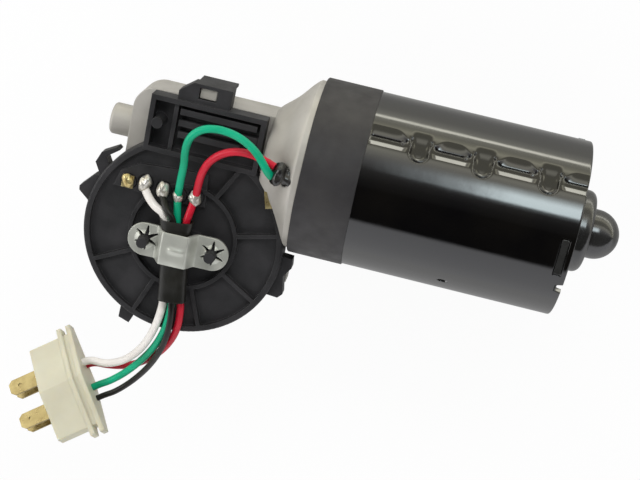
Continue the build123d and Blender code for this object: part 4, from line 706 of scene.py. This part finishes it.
# a flat-topped section carried round the motor; both edges move by two slow waves
def bandGrid(f):
    angles = np.radians(np.linspace(0, 360, f["steps"])[:-1])
    low, high, rim = f["start"], f["end"], f["outer"] - f["round"]
    section = np.array([(low, f["inner"]), (low, rim), (low + f["round"], f["outer"]),
                        (low + f["flat"], f["outer"]), (high - f["flat"], f["outer"]),
                        (high - f["round"], f["outer"]), (high, rim), (high, f["inner"])])
    wave = sum(share * np.sin(count * angles + start) for share, count, start in f["waves"])
    side = np.where(section[:, 0] > (low + high) / 2, 1.0, -1.0)[:, None]
    station = section[:, :1] + f["wander"] * wave[None, :] * side
    ripple = f["ripple"] * np.sin(f["ripples"] * angles)[None, :]
    radius = section[:, 1:] + ripple * (section[:, 1:] > f["inner"])
    return aroundMotor(angles[None, :], radius, station)


gridPiece("bandRing", bandGrid(bandFacts), "bandFilm", stands=["yoke_band"])

# a flattened tube, wide at its mouth and pinched under the clamp
sleeveFacts = {
    "from": (-2.2, 7.8, 39.3), "to": (1.3, -22.9, 39.3), "wall": 0.5,
    "along": (0.0, 1.5, 4.0, 8.0, 12.0, 17.0, 20.0, 24.0, 28.0, 30.9),
    "width": (12.4, 11.9, 10.6, 10.3, 10.2, 10.2, 10.2, 10.1, 10.2, 10.4),
    "height": (6.5, 6.4, 6.4, 6.3, 6.3, 6.3, 6.3, 6.4, 6.3, 6.4),
    "widthPower": 0.67, "heightPower": 0.8, "rings": 60, "steps": 97,
}


# the outline, x = w cos^0.67 and z = h sin^0.8, carried along a straight line with its size from the table
def sleeveGrid(f):
    start, end = np.array(f["from"]), np.array(f["to"])
    run = (end - start) / np.linalg.norm(end - start)
    up = np.array((0.0, 0.0, 1.0))
    side = np.cross(up, run)
    steps = np.linspace(0, f["along"][-1], f["rings"])
    turn = np.radians(np.linspace(0, 360, f["steps"])[:-1])[None, :]
    halfWidth = np.interp(steps, f["along"], f["width"])[:, None] / 2
    halfHeight = np.interp(steps, f["along"], f["height"])[:, None] / 2

    def skin(inset):
        across = np.sign(np.cos(turn)) * np.abs(np.cos(turn)) ** f["widthPower"] * (halfWidth - inset)
        height = np.sign(np.sin(turn)) * np.abs(np.sin(turn)) ** f["heightPower"] * (halfHeight - inset)
        return start + steps[:, None, None] * run + across[..., None] * side + height[..., None] * up

    return np.concatenate((skin(0.0), skin(f["wall"])[::-1]))


gridPiece("sleeveTube", sleeveGrid(sleeveFacts), "softBlack", stands=["wire_sleeve"])

# a lump on each wired terminal, drawn up round its wire, and a brass one on the bare tag
solderFacts = {
    "height": 36.4, "lump": 0.16, "rings": 30, "steps": 57, "pole": 88,
    "places": ((-16.6, 17.6), (-9.8, 16.7), (-4.0, 15.4), (2.2, 16.5)),
    "radii": ((2.05, 3.5, 2.1), (1.95, 3.7, 2.2), (1.8, 2.2, 1.9), (2.6, 2.6, 2.0)),
    "firstSeed": 0.5, "seedStep": 1.3,
    "sparePlace": (-23.0, 17.0), "spareRadii": (2.1, 2.6, 1.5), "spareSeed": 2.9,
}


# a sphere stretched on three axes, whose radius moves by three sines of the two angles
def solderGrid(place, radii, seed, f):
    heights = np.radians(np.linspace(-f["pole"], f["pole"], f["rings"]))
    rise, turn = np.meshgrid(heights, np.radians(np.linspace(0, 360, f["steps"])[:-1]), indexing="ij")
    swell = np.sin(2 * turn + seed) * np.cos(rise)
    swell += 0.6 * np.sin(3 * turn - 1.7 * seed) * np.sin(2 * rise) * np.cos(rise)
    swell += 0.35 * np.sin(5 * turn + 2.3 * seed) * np.cos(3 * rise) * np.cos(rise)
    reach = np.stack((np.cos(rise) * np.cos(turn), np.cos(rise) * np.sin(turn), np.sin(rise)), axis=-1)
    return np.array((*place, f["height"])) + reach * (1 + f["lump"] * swell)[..., None] * np.array(radii)


spareTag = solderGrid(solderFacts["sparePlace"], solderFacts["spareRadii"], solderFacts["spareSeed"],
                      solderFacts)
gridPiece("spareTag", spareTag, "tinnedBrass", wrapRows=False, sharp=80.0)
for count, (place, radii) in enumerate(zip(solderFacts["places"], solderFacts["radii"])):
    seed = solderFacts["seedStep"] * count + solderFacts["firstSeed"]
    gridPiece(f"solderLump{count + 1}", solderGrid(place, radii, seed, solderFacts), "brightSolder",
              stands=["solder_joints"] if count == 0 else (), wrapRows=False, sharp=80.0)

# a soft lump with a moulded collar
grommetFacts = {
    "seat": (35.6, 35.6, 46.4), "axis": (-0.92, 0.2, 0.33), "back": -1.2, "front": 7.1,
    "along": (-1.2, 0.4, 1.2, 2.2, 3.4, 4.4, 5.4, 6.4, 7.0, 7.1),
    "radius": (3.1, 3.7, 3.9, 3.3, 3.1, 3.9, 4.2, 3.9, 3.2, 2.3),
    "lump": 0.10, "twist": 0.6, "tip": 0.02, "rings": 44, "steps": 65,
}


# a turned outline from the table; its radius moves by two sines, and its two ends close almost to points
def grommetGrid(f):
    axis = np.array(f["axis"]) / np.linalg.norm(f["axis"])
    first = np.array((0.0, 1.0, 0.0)) - axis * axis[1]
    first /= np.linalg.norm(first)
    second = np.cross(axis, first)
    rings = np.linspace(f["back"], f["front"], f["rings"])
    along = np.concatenate(([f["back"]], rings, [f["front"]]))[:, None]
    turn = np.radians(np.linspace(0, 360, f["steps"])[:-1])[None, :]
    swell = 1 + f["lump"] * np.sin(3 * turn + f["twist"] * along) + 0.5 * f["lump"] * np.sin(5 * turn - along)
    radius = np.interp(along, f["along"], f["radius"]) * swell
    radius[0], radius[-1] = f["tip"], f["tip"]
    ring = np.cos(turn)[..., None] * first + np.sin(turn)[..., None] * second
    return np.array(f["seat"]) + along[..., None] * axis + radius[..., None] * ring


gridPiece("grommetLump", grommetGrid(grommetFacts), "grommetBlack",
          stands=["grommet"], wrapRows=False, sharp=70.0)

# a pressed strip with a hump over the sleeve and a star-shaped push nut at each pin
clampFacts = {
    "centre": (-0.3, -2.4), "turn": 1.0, "halfPin": 12.55, "halfWidth": 6.2, "sheet": 1.2, "foot": 37.2,
    "rise": 5.55, "humpShift": -0.6, "humpTop": 4.4, "humpFoot": 7.9, "crown": 0.6,
    "lens": (0.5, 0.2, 2.9, 1.2, 0.7), "hole": 2.25, "holeRise": 0.3, "petal": 1.0, "petalReach": 3.9,
    "cuts": 6, "slotStart": 1.0, "slotReach": 4.7, "slotInner": 0.85, "slotOuter": 0.28,
    "starTurn": (29.0, 31.0), "starShift": ((0.7, 0.9), (0.3, 0.5)),
    "cell": 0.17, "slopeStep": 0.02, "nearEdge": 0.55, "keep": 0.02, "merge": 0.02, "sliver": 0.01,
}


# signed distance to the sheet's edge: a long slot outline less, at each pin, a hole and tapered cuts
def clampShape(x, y, f):
    away = np.hypot(np.maximum(np.abs(x) - f["halfPin"], 0.0), y) - f["halfWidth"]
    for side, starTurn, shift in zip((-1, 1), f["starTurn"], f["starShift"]):
        away = np.maximum(away, f["hole"] - np.hypot(x - side * f["halfPin"], y))
        across, along = x - side * f["halfPin"] - shift[0], y - shift[1]
        for cut in range(f["cuts"]):
            bearing = math.radians(starTurn + 360.0 / f["cuts"] * cut)
            out = across * math.cos(bearing) + along * math.sin(bearing)
            off = np.abs(along * math.cos(bearing) - across * math.sin(bearing))
            half = np.interp(out, (f["slotStart"], f["slotReach"]), (f["slotInner"], f["slotOuter"]))
            inCut = np.maximum(np.maximum(off - half, out - f["slotReach"]), -out)
            away = np.maximum(away, -inCut)
    return away


# height of the sheet's upper face: foot, hump, pillow crown, raised lens and petals bent up at the pins
def clampHeight(x, y, f):
    hump = 1.0 - softStep(np.abs(x - f["humpShift"]), f["humpTop"], f["humpFoot"])
    lensX, lensY, lensLong, lensWide, lensHigh = f["lens"]
    height = f["foot"] + f["sheet"] + f["rise"] * hump
    height -= f["crown"] * hump * (np.abs(y) / f["halfWidth"]) ** 3
    height += lensHigh * np.exp(-((x - lensX) / lensLong) ** 4 - ((y - lensY) / lensWide) ** 2)
    for side in (-1, 1):
        reach = np.hypot(x - side * f["halfPin"], y)
        height += f["petal"] * (1.0 - softStep(reach, f["hole"] - f["holeRise"], f["petalReach"]))
    return height


# a sheet over the cells inside a shape; corners beside its edge move onto it, along the distance's slope
def sheetPiece(name, f, shape, height, reach, finish, stands):
    spans = [np.arange(-half, half + f["cell"], f["cell"]) for half in reach]
    x, y = np.meshgrid(*spans, indexing="ij")
    step = f["slopeStep"]
    for _ in range(2):
        away = shape(x, y, f)
        slopeX = (shape(x + step, y, f) - shape(x - step, y, f)) / (2 * step)
        slopeY = (shape(x, y + step, f) - shape(x, y - step, f)) / (2 * step)
        near = np.abs(away) < f["nearEdge"] * f["cell"]
        x, y = np.where(near, x - away * slopeX, x), np.where(near, y - away * slopeY, y)
    kept = shape(x, y, f) < f["keep"]
    turn = math.radians(f["turn"])
    placed = (f["centre"][0] + x * math.cos(turn) - y * math.sin(turn),
              f["centre"][1] + x * math.sin(turn) + y * math.cos(turn), height(x, y, f))
    spot = np.stack(placed, axis=-1).reshape(-1, 3) * mm
    number = np.arange(x.size).reshape(x.shape)
    corners = (number[:-1, :-1], number[1:, :-1], number[1:, 1:], number[:-1, 1:])
    cells = np.stack(corners, axis=-1).reshape(-1, 4)
    cellKept = kept.reshape(-1)[cells]
    quads = cells[cellKept.sum(axis=1) == 4]
    partly = cellKept.sum(axis=1) == 3
    triangles = cells[partly][cellKept[partly]].reshape(-1, 3)
    used, packed = np.unique(np.concatenate((quads.reshape(-1), triangles.reshape(-1))), return_inverse=True)
    faces = packed[:quads.size].reshape(-1, 4).tolist() + packed[quads.size:].reshape(-1, 3).tolist()
    mesh = bpy.data.meshes.new(name)
    mesh.from_pydata(spot[used].tolist(), [], faces)
    mending = bmesh.new()
    mending.from_mesh(mesh)
    bmesh.ops.remove_doubles(mending, verts=mending.verts, dist=f["merge"] * mm)
    bmesh.ops.dissolve_degenerate(mending, dist=f["sliver"] * mm, edges=mending.edges)
    mending.to_mesh(mesh)
    mending.free()
    piece = finishPiece(name, mesh, finish, stands, 50.0)
    skin = piece.modifiers.new("sheet", "SOLIDIFY")
    skin.thickness, skin.offset, skin.use_even_offset = f["sheet"] * mm, -1.0, False
    return piece


sheetPiece("clampStrip", clampFacts, clampShape, clampHeight, (19.2, 6.6), "zincSheet",
           ["cable_clamp"])
print("yoke, band, sleeve, solder, grommet and clamp made")

# a coil spring on each brush's seat, one above the motor's axis and one below
springFacts = {"centre": (47.65, 34.0), "seat": 20.65, "length": 4.5, "coil": 2.3, "wire": 0.35,
               "turns": 4, "keep": 0.55, "rings": 160, "steps": 13, "tip": 0.01}


# a circle of the wire's radius carried along a helix; both ends close almost to points
def springGrid(side, f):
    whole = 2 * math.pi * f["turns"]
    turn = np.concatenate(([0.0], np.linspace(0.0, whole, f["rings"]), [whole]))[:, None]
    around = np.radians(np.linspace(0, 360, f["steps"])[:-1])[None, :]
    wire = np.full(turn.shape, f["wire"])
    wire[0], wire[-1] = f["tip"], f["tip"]
    rise = f["seat"] + f["wire"] + (f["length"] - 2 * f["wire"]) * turn / whole
    reach = f["coil"] + wire * np.cos(around)
    height = rise + wire * np.sin(around)
    return np.stack((f["centre"][0] + reach * np.cos(turn), f["centre"][1] + reach * np.sin(turn),
                     motorLine[2] + side * height), axis=-1)


for sideName, side in (("upper", 1), ("lower", -1)):
    coil = gridPiece("spring" + sideName.capitalize(), springGrid(side, springFacts), "polishedSteel",
                     stands=["brush_spring_" + sideName], wrapRows=False, sharp=70.0)
    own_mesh(coil)
print("brush springs made")
